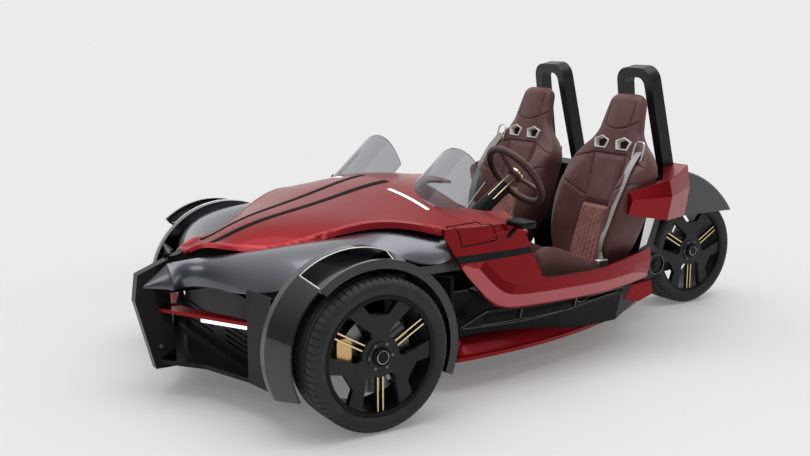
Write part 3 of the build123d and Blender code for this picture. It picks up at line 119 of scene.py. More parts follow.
def tint(mat, source, dark, light, low=0.35, high=0.65):
    """Base colour between two tones."""
    ramp = add(mat.node_tree, "ValToRGB")
    for stop, place, tone in zip(ramp.color_ramp.elements, (low, high), (dark, light)):
        stop.position = place
        stop.color = (*tone, 1)
    mat.node_tree.links.new(source, ramp.inputs["Fac"])
    feed(mat, "Base Color", ramp.outputs["Color"])


def shades(base, low, high):
    """Darker and lighter tone of a colour."""
    return [c * low for c in base], [c * high for c in base]


def vary_rough(mat, source, low, high):
    span = add(mat.node_tree, "MapRange", To_Min=low, To_Max=high)
    mat.node_tree.links.new(source, span.inputs["Value"])
    feed(mat, "Roughness", span.outputs["Result"])


def bump(mat, source, strength, distance):
    node = add(mat.node_tree, "Bump", Strength=strength, Distance=distance)
    mat.node_tree.links.new(source, node.inputs["Height"])
    feed(mat, "Normal", node.outputs["Normal"])


def moulded(name, base, rough, grain, depth, drift=0.25, **sockets):
    """Moulded plastic, rubber or coated metal: fine grain, mottled roughness, small colour drift."""
    mat = new_material(name, base, rough, **sockets)
    fine = noise(mat, grain)
    broad = noise(mat, MOTTLE, 3.0)
    tint(mat, broad, *shades(base, 1 - drift, 1 + drift))
    vary_rough(mat, broad, rough * 0.85, rough * 1.15)
    bump(mat, fine, 0.25, depth)
    return mat


def paint(name, base, rough, metallic, flake=2200.0, **sockets):
    """Lacquered paint: flake in the base coat under a clear coat."""
    mat = new_material(name, base, rough, metallic, Coat_Roughness=COAT_ROUGH, **sockets)
    tint(mat, noise(mat, flake, 2.0), *shades(base, 0.78, 1.25), 0.3, 0.7)
    vary_rough(mat, noise(mat, HAZE, 3.0), rough * 0.9, rough * 1.12)
    return mat


def hide(name, base, rough, grain=620.0, depth=0.0006):
    """Leather: pebbled grain, soft sheen, drift in colour."""
    mat = new_material(name, base, rough, Sheen_Weight=0.12, Sheen_Roughness=0.4, Specular_IOR_Level=0.4)
    broad = noise(mat, DRIFT, 5.0)
    tint(mat, broad, *shades(base, 0.8, 1.2))
    vary_rough(mat, broad, rough * 0.88, rough * 1.12)
    bump(mat, texture(mat, "TexVoronoi", "Distance", Scale=grain), 0.3, depth)
    return mat


red_paint = paint("red_lacquer", (0.262, 0.0036, 0.0085), 0.36, 0.75, Coat_Weight=0.20,
                  Specular_IOR_Level=0.2)
# Lighter copy of the red paint for the hood's rolled lip: a painted highlight
lip_highlight_red = paint("red_lacquer_lip_painted_highlight", (0.40, 0.016, 0.026), 0.34, 0.75, Coat_Weight=0.3)
# Paler, pinker copy of the red paint for the turned-under sill facets: a painted reflection of the pale floor
floor_reflection_red = paint("red_lacquer_painted_floor_reflection", (0.46, 0.085, 0.100), 0.34, 0.75, Coat_Weight=0.4)
gloss_black = paint("black_lacquer", (0.0035, 0.0035, 0.004), 0.32, 0.0, 900.0, Coat_Weight=0.15,
                    Specular_IOR_Level=0.12)
# Lighter copy of the body's black paint for the shoulders: a painted highlight on their upward faces
shoulder_highlight_black = paint("shoulder_metallic_painted_highlight", (0.135, 0.139, 0.158), 0.32, 0.94, Coat_Weight=0.6)
# Darker copy of the body's black paint for the fenders: painted shade on their front faces
fender_shade_black = paint("fender_metallic_painted_shade", (0.026, 0.027, 0.031), 0.27, 0.92, Coat_Weight=0.8)
graphite = paint("graphite_lacquer", (0.045, 0.044, 0.046), 0.38, 0.6, Coat_Weight=0.8)
satin_black = moulded("satin_moulding", (0.0055, 0.0055, 0.006), 0.46, 2600.0, 0.0002,
                      Specular_IOR_Level=0.14)
hoop_black = moulded("powder_coat", (0.0085, 0.0085, 0.0095), 0.36, 1700.0, 0.0002, Specular_IOR_Level=0.4)
# Near-black for painted shade in the hood's slots and recesses and behind the prow, and for the dark shut
# line of the charge flap
shade_and_joint_black = moulded("shadow_gap", (0.003, 0.003, 0.003), 0.7, 2500.0, 0.0001, Specular_IOR_Level=0.1)
rubber = moulded("road_rubber", (0.026, 0.0245, 0.0242), 0.58, 700.0, 0.0006, Specular_IOR_Level=0.35)
rim_grey = moulded("rim_coat", (0.020, 0.0195, 0.020), 0.40, 2600.0, 0.0001, Metallic=0.35,
                   Specular_IOR_Level=0.35)
case_grey = moulded("cast_case", (0.20, 0.20, 0.205), 0.5, 500.0, 0.0006, Metallic=0.7)
steel = moulded("machined_steel", (0.30, 0.30, 0.31), 0.34, 3000.0, 0.0001, Metallic=1.0)
disc_steel = moulded("ground_steel", (0.20, 0.198, 0.195), 0.36, 2500.0, 0.0001, Metallic=1.0)
dark_chrome = moulded("dark_chrome", (0.16, 0.16, 0.165), 0.3, 3000.0, 0.0001, 0.08, Metallic=1.0)
silver = moulded("silver_satin", (0.66, 0.66, 0.66), 0.3, 3000.0, 0.0001, 0.06, Metallic=1.0)
gold = moulded("gold_anodised", (0.60, 0.41, 0.19), 0.28, 3000.0, 0.0001, 0.08, Metallic=1.0)
pale_gold = moulded("gold_polished", (0.80, 0.62, 0.36), 0.22, 3000.0, 0.0001, 0.05, Metallic=1.0)
ivory = moulded("ivory_trim", (0.72, 0.70, 0.66), 0.4, 2500.0, 0.0001, 0.06)
webbing = moulded("grey_webbing", (0.34, 0.33, 0.32), 0.6, 900.0, 0.0008)
thread = moulded("brown_thread", (0.16, 0.075, 0.065), 0.6, 2500.0, 0.0002)
leather = hide("brown_leather", (0.112, 0.043, 0.040), 0.46)
# Lighter copy of the leather for the quilted centre: painted light on the quilt
quilt_highlight_leather = hide("brown_leather_quilt_painted_light", (0.290, 0.122, 0.110), 0.46)
leather_dark = hide("brown_leather_side", (0.070, 0.027, 0.025), 0.48)
smoked = new_material("smoked_screen", (0.40, 0.41, 0.43), 0.03, Transmission_Weight=0.95, IOR=1.25)
vary_rough(smoked, noise(smoked, 60.0), 0.0, 0.006)
lamp_white = new_material("lamp_diffuser", (0.9, 0.9, 0.9), 0.3, Emission_Strength=1.3,
                          Emission_Color=(1, 0.97, 0.94, 1))
tint(lamp_white, noise(lamp_white, 160.0), (0.82, 0.82, 0.8), (0.95, 0.95, 0.95))

LOOKS = {
    "red_paint": red_paint, "gloss_black": gloss_black, "satin_black": satin_black, "case_grey": case_grey,
    "graphite": graphite, "hoop_black": hoop_black, "steel": steel, "disc_steel": disc_steel,
    "gold_metal": gold, "rim_grey": rim_grey, "tyre": rubber, "leather": leather, "smoked_glass": smoked,
    "lamp": lamp_white,
}
for entry in frame["record"]["subparts"]:
    node = nodes[entry["node"]]
    node.data.materials.clear()
    node.data.materials.append(LOOKS[entry["material_slot"]])
# Shoulders in the lighter black, a painted highlight
nodes["nose_shoulders"].data.materials[0] = shoulder_highlight_black
# Fenders in the darker black, painted shade
nodes["front_fenders"].data.materials[0] = fender_shade_black
nodes["drive_motor"].data.materials[0] = hoop_black

# Mesh helpers
BEVEL_FROM = math.radians(35)


def closed_mesh(name, verts, faces, smooth):
    """Mesh with outward normals."""
    mesh = bpy.data.meshes.new(name)
    mesh.from_pydata([tuple(p) for p in verts], [], faces)
    clean = bmesh.new()
    clean.from_mesh(mesh)
    bmesh.ops.recalc_face_normals(clean, faces=clean.faces)
    for face in clean.faces:
        face.smooth = smooth
    clean.to_mesh(mesh)
    clean.free()
    return mesh


def piece(name, verts, faces, mat, body, slot, sharp=38.0):
    """Closed mesh riding on a body; edges sharper than an angle stay crisp."""
    mesh = closed_mesh(name, verts, faces, True)
    mesh.set_sharp_from_angle(angle=math.radians(sharp))
    mesh.materials.append(mat)
    obj = bpy.data.objects.new(name, mesh)
    scene.collection.objects.link(obj)
    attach(obj, body)
    return obj


def bevelled(obj, width):
    mod = obj.modifiers.new("edges", "BEVEL")
    mod.width = width
    mod.segments = 2
    mod.limit_method = "ANGLE"
    mod.angle_limit = BEVEL_FROM


def skin(rings, closed=False):
    """Faces over rings of equally many points; closed joins the last ring to the first."""
    count = len(rings[0])
    verts = [p for ring in rings for p in ring]
    rows = len(rings)
    faces = []
    for i in range(rows if closed else rows - 1):
        low, high = i * count, (i + 1) % rows * count
        for j in range(count):
            k = (j + 1) % count
            faces.append((low + j, low + k, high + k, high + j))
    if not closed:
        faces.append(tuple(range(count))[::-1])
        faces.append(tuple((rows - 1) * count + j for j in range(count)))
    return verts, faces


def join(parts):
    """One vertex and face list from several."""
    verts, faces = [], []
    for some_verts, some_faces in parts:
        start = len(verts)
        verts.extend(some_verts)
        faces.extend(tuple(i + start for i in face) for face in some_faces)
    return verts, faces


def slab(corners, depth):
    """Prism on a plane polygon."""
    low = [Vector(p) for p in corners]
    return skin([low, [p + depth for p in low]])


def oblong(start, end, half):
    """Corners of a strip, along it and across it."""
    return (start, -half), (end, -half), (end, half), (start, half)


def circle(count):
    """Angles in equal steps round a circle."""
    return np.linspace(0, 2 * math.pi, count, endpoint=False)


def section(x, side, ring):
    """Ring across the part, from distances off its middle and heights."""
    return [Vector((x, side * w, float(h))) for w, h in ring]


def heading(path, i):
    """Direction of a path at one of its points."""
    return (path[min(i + 1, len(path) - 1)] - path[max(i - 1, 0)]).normalized()


def smooth_path(points, per_span):
    """Points of a curve through the given ones."""
    pts = [Vector(p) for p in points]
    ends = [2 * pts[0] - pts[1]] + pts + [2 * pts[-1] - pts[-2]]
    path = []
    for a, b, c, d in zip(ends, ends[1:], ends[2:], ends[3:]):
        for i in range(per_span):
            t = i / per_span
            path.append(0.5 * (2 * b + (c - a) * t + (2 * a - 5 * b + 4 * c - d) * t * t
                               + (3 * b - a - 3 * c + d) * t ** 3))
    return path + [pts[-1]]


def tube(path, radius, sides=8):
    """Round bar along a path."""
    rings = []
    side = None
    for i, p in enumerate(path):
        run = heading(path, i)
        if side is None:
            side = run.orthogonal().normalized()
        side = (side - run * side.dot(run)).normalized()
        other = run.cross(side)
        rings.append([p + radius * (math.cos(a) * side + math.sin(a) * other) for a in circle(sides)])
    return skin(rings)


def ribbon(path, across, width, thick):
    """Flat strap along a path; across gives its width direction at each end."""
    rings = []
    for i, p in enumerate(path):
        run = heading(path, i)
        wide = Vector(across[0]).lerp(Vector(across[1]), i / (len(path) - 1))
        wide = (wide - run * wide.dot(run)).normalized()
        up = run.cross(wide) * thick / 2
        half = wide * width / 2
        rings.append([p - half - up, p + half - up, p + half + up, p - half + up])
    return skin(rings)


def turned(profile, centre, axis, steps=96):
    """Solid of revolution from a closed profile of radius and distance along the axis."""
    axis = Vector(axis).normalized()
    side = axis.orthogonal().normalized()
    other = axis.cross(side)
    rings = []
    for i in range(steps):
        a = 2 * math.pi * i / steps
        out = math.cos(a) * side + math.sin(a) * other
        rings.append([Vector(centre) + r * out + w * axis for r, w in profile])
    return skin(rings, closed=True)


def table(*rows):
    """Smooth curve through rows of place and value."""
    xs = np.array([row[0] for row in rows])
    ys = np.array([row[1] for row in rows])
    slopes = np.gradient(ys, xs)

    def at(t):
        t = np.clip(np.asarray(t, float), xs[0], xs[-1])
        i = np.clip(np.searchsorted(xs, t, side="right") - 1, 0, len(xs) - 2)
        h = xs[i + 1] - xs[i]
        k = (t - xs[i]) / h
        return ((1 + 2 * k) * (1 - k) ** 2 * ys[i] + k * (1 - k) ** 2 * h * slopes[i]
                + k * k * (3 - 2 * k) * ys[i + 1] + k * k * (k - 1) * h * slopes[i + 1])
    return at


def ease(x):
    x = np.clip(x, 0, 1)
    return x * x * (3 - 2 * x)


def band(x, low, high, soft):
    """One between two limits, easing to nothing outside them."""
    return ease((x - low) / soft) * ease((high - x) / soft)


def sewn(*seams):
    """Deepest of several seams, each a distance from it, its width and where it runs."""
    return np.maximum.reduce([np.exp(-(distance / width) ** 2) * where for distance, width, where in seams])


surfaces = {}
edge_ends = {}
ABOVE = 2.0


def surface(name):
    """Search tree over a node's mesh."""
    if name not in surfaces:
        mesh = nodes[name].data
        surfaces[name] = BVHTree.FromPolygons([v.co for v in mesh.vertices],
                                              [p.vertices[:] for p in mesh.polygons])
    return surfaces[name]


def on_node(name, point):
    """Nearest point of a node's surface and its normal."""
    place, normal, _, _ = surface(name).find_nearest(Vector(point))
    return place, normal


def top_at(name, x, y):
    """Height of a node's upper surface."""
    place = surface(name).ray_cast(Vector((x, y, ABOVE)), Vector((0, 0, -1)))[0]
    return place.z if place else None


def node_slice(name, x):
    """Points where a node's mesh crosses a plane across the part."""
    if name not in edge_ends:
        mesh = nodes[name].data
        spots = np.array([v.co for v in mesh.vertices])
        edge_ends[name] = spots[np.array([e.vertices[:] for e in mesh.edges])]
    ends = edge_ends[name]
    ahead = ends[:, :, 0] - x
    cut = ends[ahead[:, 0] * ahead[:, 1] < 0]
    share = (x - cut[:, 0, 0]) / (cut[:, 1, 0] - cut[:, 0, 0])
    return [Vector(p) for p in cut[:, 0] + share[:, None] * (cut[:, 1] - cut[:, 0])]


# Tyres: ribbed walls and a tread of grooves and swept blocks
TYRE_SIDE = (
    # below the tread, in from the widest
    (0.0630, 0.0130),
    (0.0590, 0.0075),
    (0.0500, 0.0022),
    (0.0375, 0.0000),
    (0.0345, 0.0000),
    (0.0330, 0.0012),
    (0.0280, 0.0016),
    (0.0265, 0.0006),
    (0.0240, 0.0008),
    (0.0180, 0.0040),
    (0.0120, 0.0085),
    (0.0072, 0.0150),
)
TREAD_PITCHES = 66
BLOCK_CUT = (0.0, 0.03, 0.20, 0.23, 0.48, 0.74)
CUT_SPAN = (0.02, 0.22)
TREAD_INSET = 0.022
TREAD_ROUND = 0.006
TREAD_CROWN = 0.0022
TREAD_SWEEP = 0.35
GROOVES = (0.022, 0.050)
GROOVE_HALF = 0.0042
GROOVE_DEPTH = 0.0058
WALL_OUT = 0.001
WALL_IN = 0.0003
SHOULDER_SHARE = 0.85
BLOCK_SHARE = 0.5
EDGE_ROWS = 3
EDGE_CUT = 0.0024


def tread_places(edge):
    """Places across half the tread, with both walls of every groove."""
    places = [0.0]
    for at in GROOVES:
        near, far = at - GROOVE_HALF, at + GROOVE_HALF
        places += [near - WALL_OUT, near + WALL_IN, far - WALL_IN, far + WALL_OUT]
    return places + [(GROOVES[-1] + edge) / 2, edge - TREAD_ROUND, edge]


def build_tyre(wheel, x, y, radius, width, side, body):
    half = width / 2
    edge = half - TREAD_INSET
    outline = [(radius - drop, half - set_in) for drop, set_in in TYRE_SIDE]
    tread_from = len(outline)
    outline += [(radius - TREAD_CROWN * (w / edge) ** 4, w) for w in reversed(tread_places(edge))]
    full = outline + [(r, -w) for r, w in reversed(outline[:-1])]
    tread_to = len(full) - tread_from
    rings = []
    for pitch in range(TREAD_PITCHES):
        for cut in BLOCK_CUT:
            in_cut = CUT_SPAN[0] < cut < CUT_SPAN[1]
            ring = []
            for i, (r, w) in enumerate(full):
                on_tread = tread_from <= i < tread_to
                by_tread = tread_from - EDGE_ROWS <= i < tread_to + EDGE_ROWS
                twist = TREAD_SWEEP * abs(w) / half if by_tread else 0.0
                a = 2 * math.pi * (pitch + cut + twist) / TREAD_PITCHES
                shoulder = abs(w) > GROOVES[-1] + GROOVE_HALF
                if on_tread and any(abs(abs(w) - at) < GROOVE_HALF for at in GROOVES):
                    r -= GROOVE_DEPTH
                elif on_tread and in_cut and (shoulder or abs(w) > GROOVES[0]):
                    r -= GROOVE_DEPTH * (SHOULDER_SHARE if shoulder else BLOCK_SHARE)
                elif by_tread and not on_tread and in_cut:
                    r -= EDGE_CUT
                ring.append(Vector((x + r * math.sin(a), y + side * w, radius + r * math.cos(a))))
            rings.append(ring)
    tyre = piece(f"tyre_tread_{wheel}", *skin(rings, closed=True), rubber, body, "tyre", 30.0)
    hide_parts(f"tyre_{wheel}")


# Wheels: gold spoke trims, hub caps, rim lips and bolts
SPOKES = (30, 150, 270)
BAR_SPAN = (0.057, 0.2145)
BAR_HALF = 0.0031
BAR_OFF = 0.011
BAR_THICK = 0.0028
BAR_SINK = 0.006
RIM_INSET = 0.012
FACE_INSET = 0.008
CAP_LIFT = 0.004
CAP_PROFILE = (
    # radius, out
    (0.0365, 0.0), (0.0365, 0.0060), (0.0352, 0.0080), (0.0322, 0.0086), (0.0310, 0.0074), (0.0300, 0.0074),
    (0.0290, 0.0092), (0.0262, 0.0118), (0.0216, 0.0136), (0.0184, 0.0143), (0.0176, 0.0136),
    (0.0167, 0.0136), (0.0159, 0.0144), (0.0098, 0.0149), (0.0002, 0.0151), (0.0002, 0.0),
)
CAP_RING = ((0.0225, 0.0128), (0.0245, 0.0124), (0.0248, 0.0142), (0.0230, 0.0148))
LIP_PROFILE = (
    (0.2135, -0.0130), (0.2150, -0.0035), (0.2175, 0.0), (0.2200, 0.0009), (0.2255, 0.0012),
    (0.2290, 0.0010), (0.2305, -0.0004), (0.2300, -0.0040), (0.2215, -0.0060), (0.2160, -0.0130),
)
NUTS = 6
NUT_R = 0.050
NUT_PROFILE = (
    (0.0004, 0.0), (0.0058, 0.0), (0.0058, 0.003), (0.0048, 0.0042), (0.0032, 0.0042), (0.0028, 0.0022),
    (0.0004, 0.0022),
)


def wheel_spot(x, y, z, side, degrees, along, across, out):
    """Point on a wheel's face from an angle, and how far along and across it."""
    angle = math.radians(degrees)
    right = Vector((-side, 0, 0))
    up = Vector((0, 0, 1))
    run = math.cos(angle) * right + math.sin(angle) * up
    turn = -math.sin(angle) * right + math.cos(angle) * up
    return Vector((x, y + side * out, z)) + along * run + across * turn


def dress_wheel(wheel, x, y, radius, width, side, body):
    build_tyre(wheel, x, y, radius, width, side, body)
    rim_edge = width / 2 - RIM_INSET
    face = rim_edge - FACE_INSET
    axis = Vector((0, side, 0))
    bars = []
    for degrees in SPOKES:
        for off in (-BAR_OFF, BAR_OFF):
            corners = [wheel_spot(x, y, radius, side, degrees, along, off + wide, face - BAR_SINK)
                       for along, wide in oblong(*BAR_SPAN, BAR_HALF)]
            bars.append(slab(corners, axis * BAR_THICK))
    bevelled(piece(f"spoke_trims_{wheel}", *join(bars), pale_gold, body, "gold_metal"), 0.0007)
    hub = Vector((x, y + side * (face + CAP_LIFT), radius))
    piece(f"hub_cap_{wheel}", *turned(CAP_PROFILE, hub, axis), gloss_black, body, "gloss_black")
    piece(f"hub_ring_{wheel}", *turned(CAP_RING, hub, axis), silver, body, "steel")
    rim = Vector((x, y + side * rim_edge, radius))
    piece(f"rim_lip_{wheel}", *turned(LIP_PROFILE, rim, axis, 144), gloss_black, body, "gloss_black")
    nuts = [turned(NUT_PROFILE, wheel_spot(x, y, radius, side, 360 // NUTS * i, NUT_R, 0.0, face), axis, 20)
            for i in range(NUTS)]
    piece(f"wheel_bolts_{wheel}", *join(nuts), steel, body, "steel")


WHEELS = (
    # wheel, x, y, tyre radius, tyre width, side, body
    ("front_left", FRONT_X, WHEEL_Y, FRONT_R, 0.204, 1, "wheel_front_left"),
    ("front_right", FRONT_X, -WHEEL_Y, FRONT_R, 0.204, -1, "wheel_front_right"),
    ("rear", REAR_X, 0.0, REAR_R, 0.224, 1, "wheel_rear"),
)
for row in WHEELS:
    dress_wheel(*row)

# Seats: one-piece buckets with rounded bolsters, a quilted centre and belt ports
SEAT_HIP = (-1.395, 0.337, 0.330)
SEAT_LEAN = math.radians(17.0)
MID_SHARE = 0.45
QUILT_PITCH = 0.0262
QUILT_STEP = 0.030
QUILT_DEPTH = 0.0125
PAD_SHARE = 0.32


def quilt(across, along):
    """Sewn channels of small pads, staggered from one channel to the next."""
    row = np.round(across / QUILT_PITCH)
    in_row = across / QUILT_PITCH - row
    step = along / QUILT_STEP + 0.5 * (row % 2)
    in_step = step - np.round(step)
    pad = np.sqrt(np.clip(1 - (1.9 * in_row) ** 2, 0, 1))
    bulge = np.sqrt(np.clip(1 - (1.7 * in_step) ** 2, 0, 1))
    return QUILT_DEPTH * ((1 - PAD_SHARE) * pad + PAD_SHARE * pad * bulge)


def ring_mesh(front, back):
    """Closed form from rows of front points and of back points."""
    rings = [np.concatenate((f, b[::-1][1:-1])) for f, b in zip(front, back)]
    verts, faces = skin([list(ring) for ring in rings])
    return [Vector(v) for v in verts], faces


def spread(count):
    """Places from -1 to 1, closer together near the ends."""
    k = np.linspace(-1, 1, count)
    return 0.55 * k + 0.45 * np.sin(k * math.pi / 2)


def closing_steps(start, end, count, reach, first, few):
    """Even places from start to end, then a few that close up over a rounded end."""
    return np.concatenate((np.linspace(start, end, count),
                           end + reach * np.sin(np.linspace(first, 1, few) * math.pi / 2)))


def round_end(beyond, radius, least):
    """Share of the thickness left on a rounded end."""
    return math.sqrt(max(least, 1 - max(0.0, beyond / radius) ** 2))


def round_side(s, power):
    """Share of the thickness left towards the sides."""
    return (1 - np.abs(s) ** power) ** (1 / power)


def seat_frame(side):
    """Hip point, and the directions across, up and out of the backrest."""
    hip = np.array((station(SEAT_HIP[0]), side * SEAT_HIP[1], SEAT_HIP[2]))
    up = np.array((-math.sin(SEAT_LEAN), 0, math.cos(SEAT_LEAN)))
    out = np.array((math.cos(SEAT_LEAN), 0, math.sin(SEAT_LEAN)))
    return hip, np.array((0.0, 1.0, 0.0)), up, out


# Backrest, by height from the hip
back_half = table((-0.085, 0.145), (0.05, 0.178), (0.12, 0.200), (0.23, 0.236), (0.34, 0.254), (0.46, 0.254),
                  (0.57, 0.247), (0.62, 0.214), (0.66, 0.170), (0.70, 0.141), (0.76, 0.126), (0.85, 0.107),
                  (0.89, 0.096))
back_thick = table((-0.085, 0.085), (0.30, 0.100), (0.57, 0.095), (0.70, 0.064), (0.89, 0.058))
back_bolster = table((-0.085, 0.030), (0.05, 0.072), (0.20, 0.098), (0.33, 0.100), (0.44, 0.086),
                     (0.52, 0.055), (0.58, 0.022), (0.64, 0.003), (0.68, 0.0), (0.89, 0.0))
back_crown = table((-0.085, 0.0), (0.10, 0.012), (0.20, 0.012), (0.40, 0.010), (0.58, 0.006), (0.72, 0.016),
                   (0.89, 0.010))
centre_half = table((-0.085, 0.100), (0.10, 0.105), (0.345, 0.096), (0.45, 0.100), (0.56, 0.108),
                    (0.62, 0.106), (0.89, 0.080))
BACK_FOOT = -0.085
BACK_HEAD = 0.85
BACK_POWER = 4.5
BOLSTER_RUN = 0.088
QUILT_RISE = (0.03, 0.340)
PAD_RISE = (0.352, 0.585)
PAD_LIFT = 0.006
WAIST_SEAM = 0.346
WING_SEAM = 0.375
COLLAR_SEAM = 0.592
HEAD_SEAM = 0.712
CHEEK_SEAM = 0.080
BACK_SEAM_DEPTH = 0.0085
PORT_RISE = 0.642
PORT_OFF = 0.074
PORT = ((0.0, 0.028), (0.044, 0.012), (0.032, -0.024), (-0.032, -0.024), (-0.044, 0.012))
BEZEL = (
    # scale of the port, out of the surface
    (1.20, -0.006), (1.20, 0.004), (1.12, 0.0072), (0.98, 0.0066), (0.91, 0.001), (0.91, -0.02),
    (1.02, -0.02),
)


def back_front(s, rise):
    """How far the front of the backrest stands out of its plane."""
    u = back_half(rise) * s
    a = np.abs(u)
    inner = centre_half(rise)
    shape = back_bolster(rise) * ease((a - inner) / BOLSTER_RUN) + back_crown(rise) * (1 - s * s)
    inside = ease((inner - 0.010 - a) / 0.006)
    shape = shape + quilt(u, rise) * band(rise, *QUILT_RISE, 0.012) * inside
    shape = shape + PAD_LIFT * band(rise, *PAD_RISE, 0.02) * ease((inner - 0.004 - a) / 0.02)
    return shape - BACK_SEAM_DEPTH * sewn(
        (a - inner, 0.0040, ease((COLLAR_SEAM - rise) / 0.02)),
        (rise - WAIST_SEAM, 0.0042, ease((inner - a) / 0.004)),
        (rise - WING_SEAM - 0.62 * (a - inner), 0.0050, ease((a - inner) / 0.004)),
        (rise - COLLAR_SEAM + 0.35 * np.maximum(a - inner, 0), 0.0036, 1.0),
        (rise - HEAD_SEAM - 0.03 * (a / 0.1) ** 2, 0.0032, 1.0),
        (a - CHEEK_SEAM, 0.0030, ease((rise - 0.73) / 0.01) * ease((0.855 - rise) / 0.02)),
    )


def back_faces(s, rise, top=1.0):
    """Front and rear of the backrest, rounded off at the sides."""
    thick = back_thick(rise)
    mid = -MID_SHARE * thick
    edge = round_side(s, BACK_POWER) * top
    return mid + (back_front(s, rise) - mid) * edge, mid + (-thick - mid) * edge


def build_backrest(name, side):
    hip, across, up, out = seat_frame(side)
    s = spread(151)
    front, back = [], []
    for rise in closing_steps(BACK_FOOT, BACK_HEAD, 236, 0.039, 0.12, 10):
        top = round_end(rise - BACK_HEAD, 0.040, 0.03)
        half = back_half(rise) * (0.62 + 0.38 * top)
        reach, rear = back_faces(s, rise, top)
        point = hip + np.outer(half * s, across) + rise * up
        front.append(point + np.outer(reach, out))
        back.append(point + np.outer(rear, out))
    seat = piece(f"{name}_back", *ring_mesh(front, back), leather, "chassis", "leather", 60.0)
    ports = []
    for off in (-PORT_OFF, PORT_OFF):
        corners = [Vector(hip + (off + u) * across + (PORT_RISE + v) * up - 0.2 * out) for u, v in PORT]
        ports.append(slab(corners, Vector(0.4 * out)))
    cutter = bpy.data.objects.new("ports", closed_mesh("ports", *join(ports), False))
    scene.collection.objects.link(cutter)
    cut = seat.modifiers.new("ports", "BOOLEAN")
    cut.object = cutter
    cut.operation = "DIFFERENCE"
    cut.solver = "EXACT"
    shaped = bpy.data.meshes.new_from_object(seat.evaluated_get(bpy.context.evaluated_depsgraph_get()))
    seat.modifiers.remove(cut)
    seat.data = shaped
    shaped.name = f"{name}_back"
    bpy.data.objects.remove(cutter)
    # Quilted centre of the backrest in the lighter leather, painted light
    shaped.materials.append(quilt_highlight_leather)
    for face in shaped.polygons:
        spot = np.array(face.center) - hip
        across_by, rise = abs(spot @ across), spot @ up
        if across_by < centre_half(rise) - 0.006 and 0.03 < rise < 0.344 and spot @ out > -0.02:
            face.material_index = 1


def build_bezels(name, side):
    """Ivory frames round the belt ports."""
    hip, across, up, out = seat_frame(side)
    frames = []
    for off in (-PORT_OFF, PORT_OFF):
        level = float(back_front(np.array([off / back_half(PORT_RISE)]), PORT_RISE)[0])
        rings = [[Vector(hip + (off + grow * u) * across + (PORT_RISE + grow * v) * up + (level + lift) * out)
                  for u, v in PORT] for grow, lift in BEZEL]
        frames.append(skin(rings, closed=True))
    bevelled(piece(f"{name}_bezels", *join(frames), ivory, "chassis", "leather"), 0.0012)


# Cushion, by station
seat_top = table((-1.450, 0.326), (-1.30, 0.345), (-1.15, 0.384), (-1.05, 0.414), (-1.00, 0.426),
                 (-0.976, 0.424))
thigh_roll = table((-1.450, 0.045), (-1.36, 0.096), (-1.25, 0.120), (-1.12, 0.138), (-1.05, 0.124),
                   (-1.00, 0.078), (-0.976, 0.035))
seat_half = table((-1.450, 0.172), (-1.30, 0.186), (-1.10, 0.190), (-1.02, 0.186), (-0.976, 0.170))
CUSHION_REAR = -1.450
CUSHION_NOSE = -1.02
CUSHION_POWER = 4.2
CUSHION_CROWN = 0.012
SEAT_UNDER = 0.252
ROLL_FROM = 0.098
ROLL_RUN = 0.050
QUILT_HALF = 0.094
SIDE_SEAM = 0.102
NOSE_SEAM = -1.056
CUSHION_SEAM_DEPTH = 0.0052
PLINTH_X = (-1.36, -1.04)
PLINTH_HALF = 0.125
PLINTH_FOOT = 0.1704
PLINTH_H = 0.095


def build_cushion(name, side):
    s = spread(131)
    middle = side * SEAT_HIP[1]
    front, back = [], []
    for x in closing_steps(CUSHION_REAR, CUSHION_NOSE, 108, 0.043, 0.06, 16):
        half = seat_half(x)
        y = half * s
        a = np.abs(y)
        top = (seat_top(x) + thigh_roll(x) * ease((a - ROLL_FROM) / ROLL_RUN)
               + CUSHION_CROWN * (1 - (a / half) ** 2))
        inside = ease((QUILT_HALF - a) / 0.006) * ease((x + 1.40) / 0.02) * ease((-1.065 - x) / 0.012)
        top = top + quilt(y, x) * inside
        top = top - CUSHION_SEAM_DEPTH * sewn(
            (a - SIDE_SEAM, 0.0038, 1.0),
            (x - NOSE_SEAM, 0.0036, ease((SIDE_SEAM - a) / 0.004)),
        )
        mid = SEAT_UNDER + MID_SHARE * (seat_top(x) - SEAT_UNDER)
        edge = round_side(s, CUSHION_POWER) * round_end(x - CUSHION_NOSE, 0.044, 0.02)
        for rows, level in ((front, top), (back, SEAT_UNDER)):
            points = np.empty((len(s), 3))
            points[:, 0] = station(x)
            points[:, 1] = middle + y
            points[:, 2] = mid + (level - mid) * edge
            rows.append(points)
    cushion = piece(f"{name}_cushion", *ring_mesh(front, back), leather, "chassis", "leather", 60.0)
    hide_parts(name)
    corners = [(station(x), middle + w, PLINTH_FOOT) for x, w in oblong(*PLINTH_X, PLINTH_HALF)]
    plinth = slab(corners, Vector((0, 0, PLINTH_H)))
    bevelled(piece(f"{name}_plinth", *plinth, satin_black, "chassis", "satin_black"), 0.008)


for label, side in SIDES:
    build_backrest(f"seat_{label}", side)
    build_bezels(f"seat_{label}", side)
    build_cushion(f"seat_{label}", side)

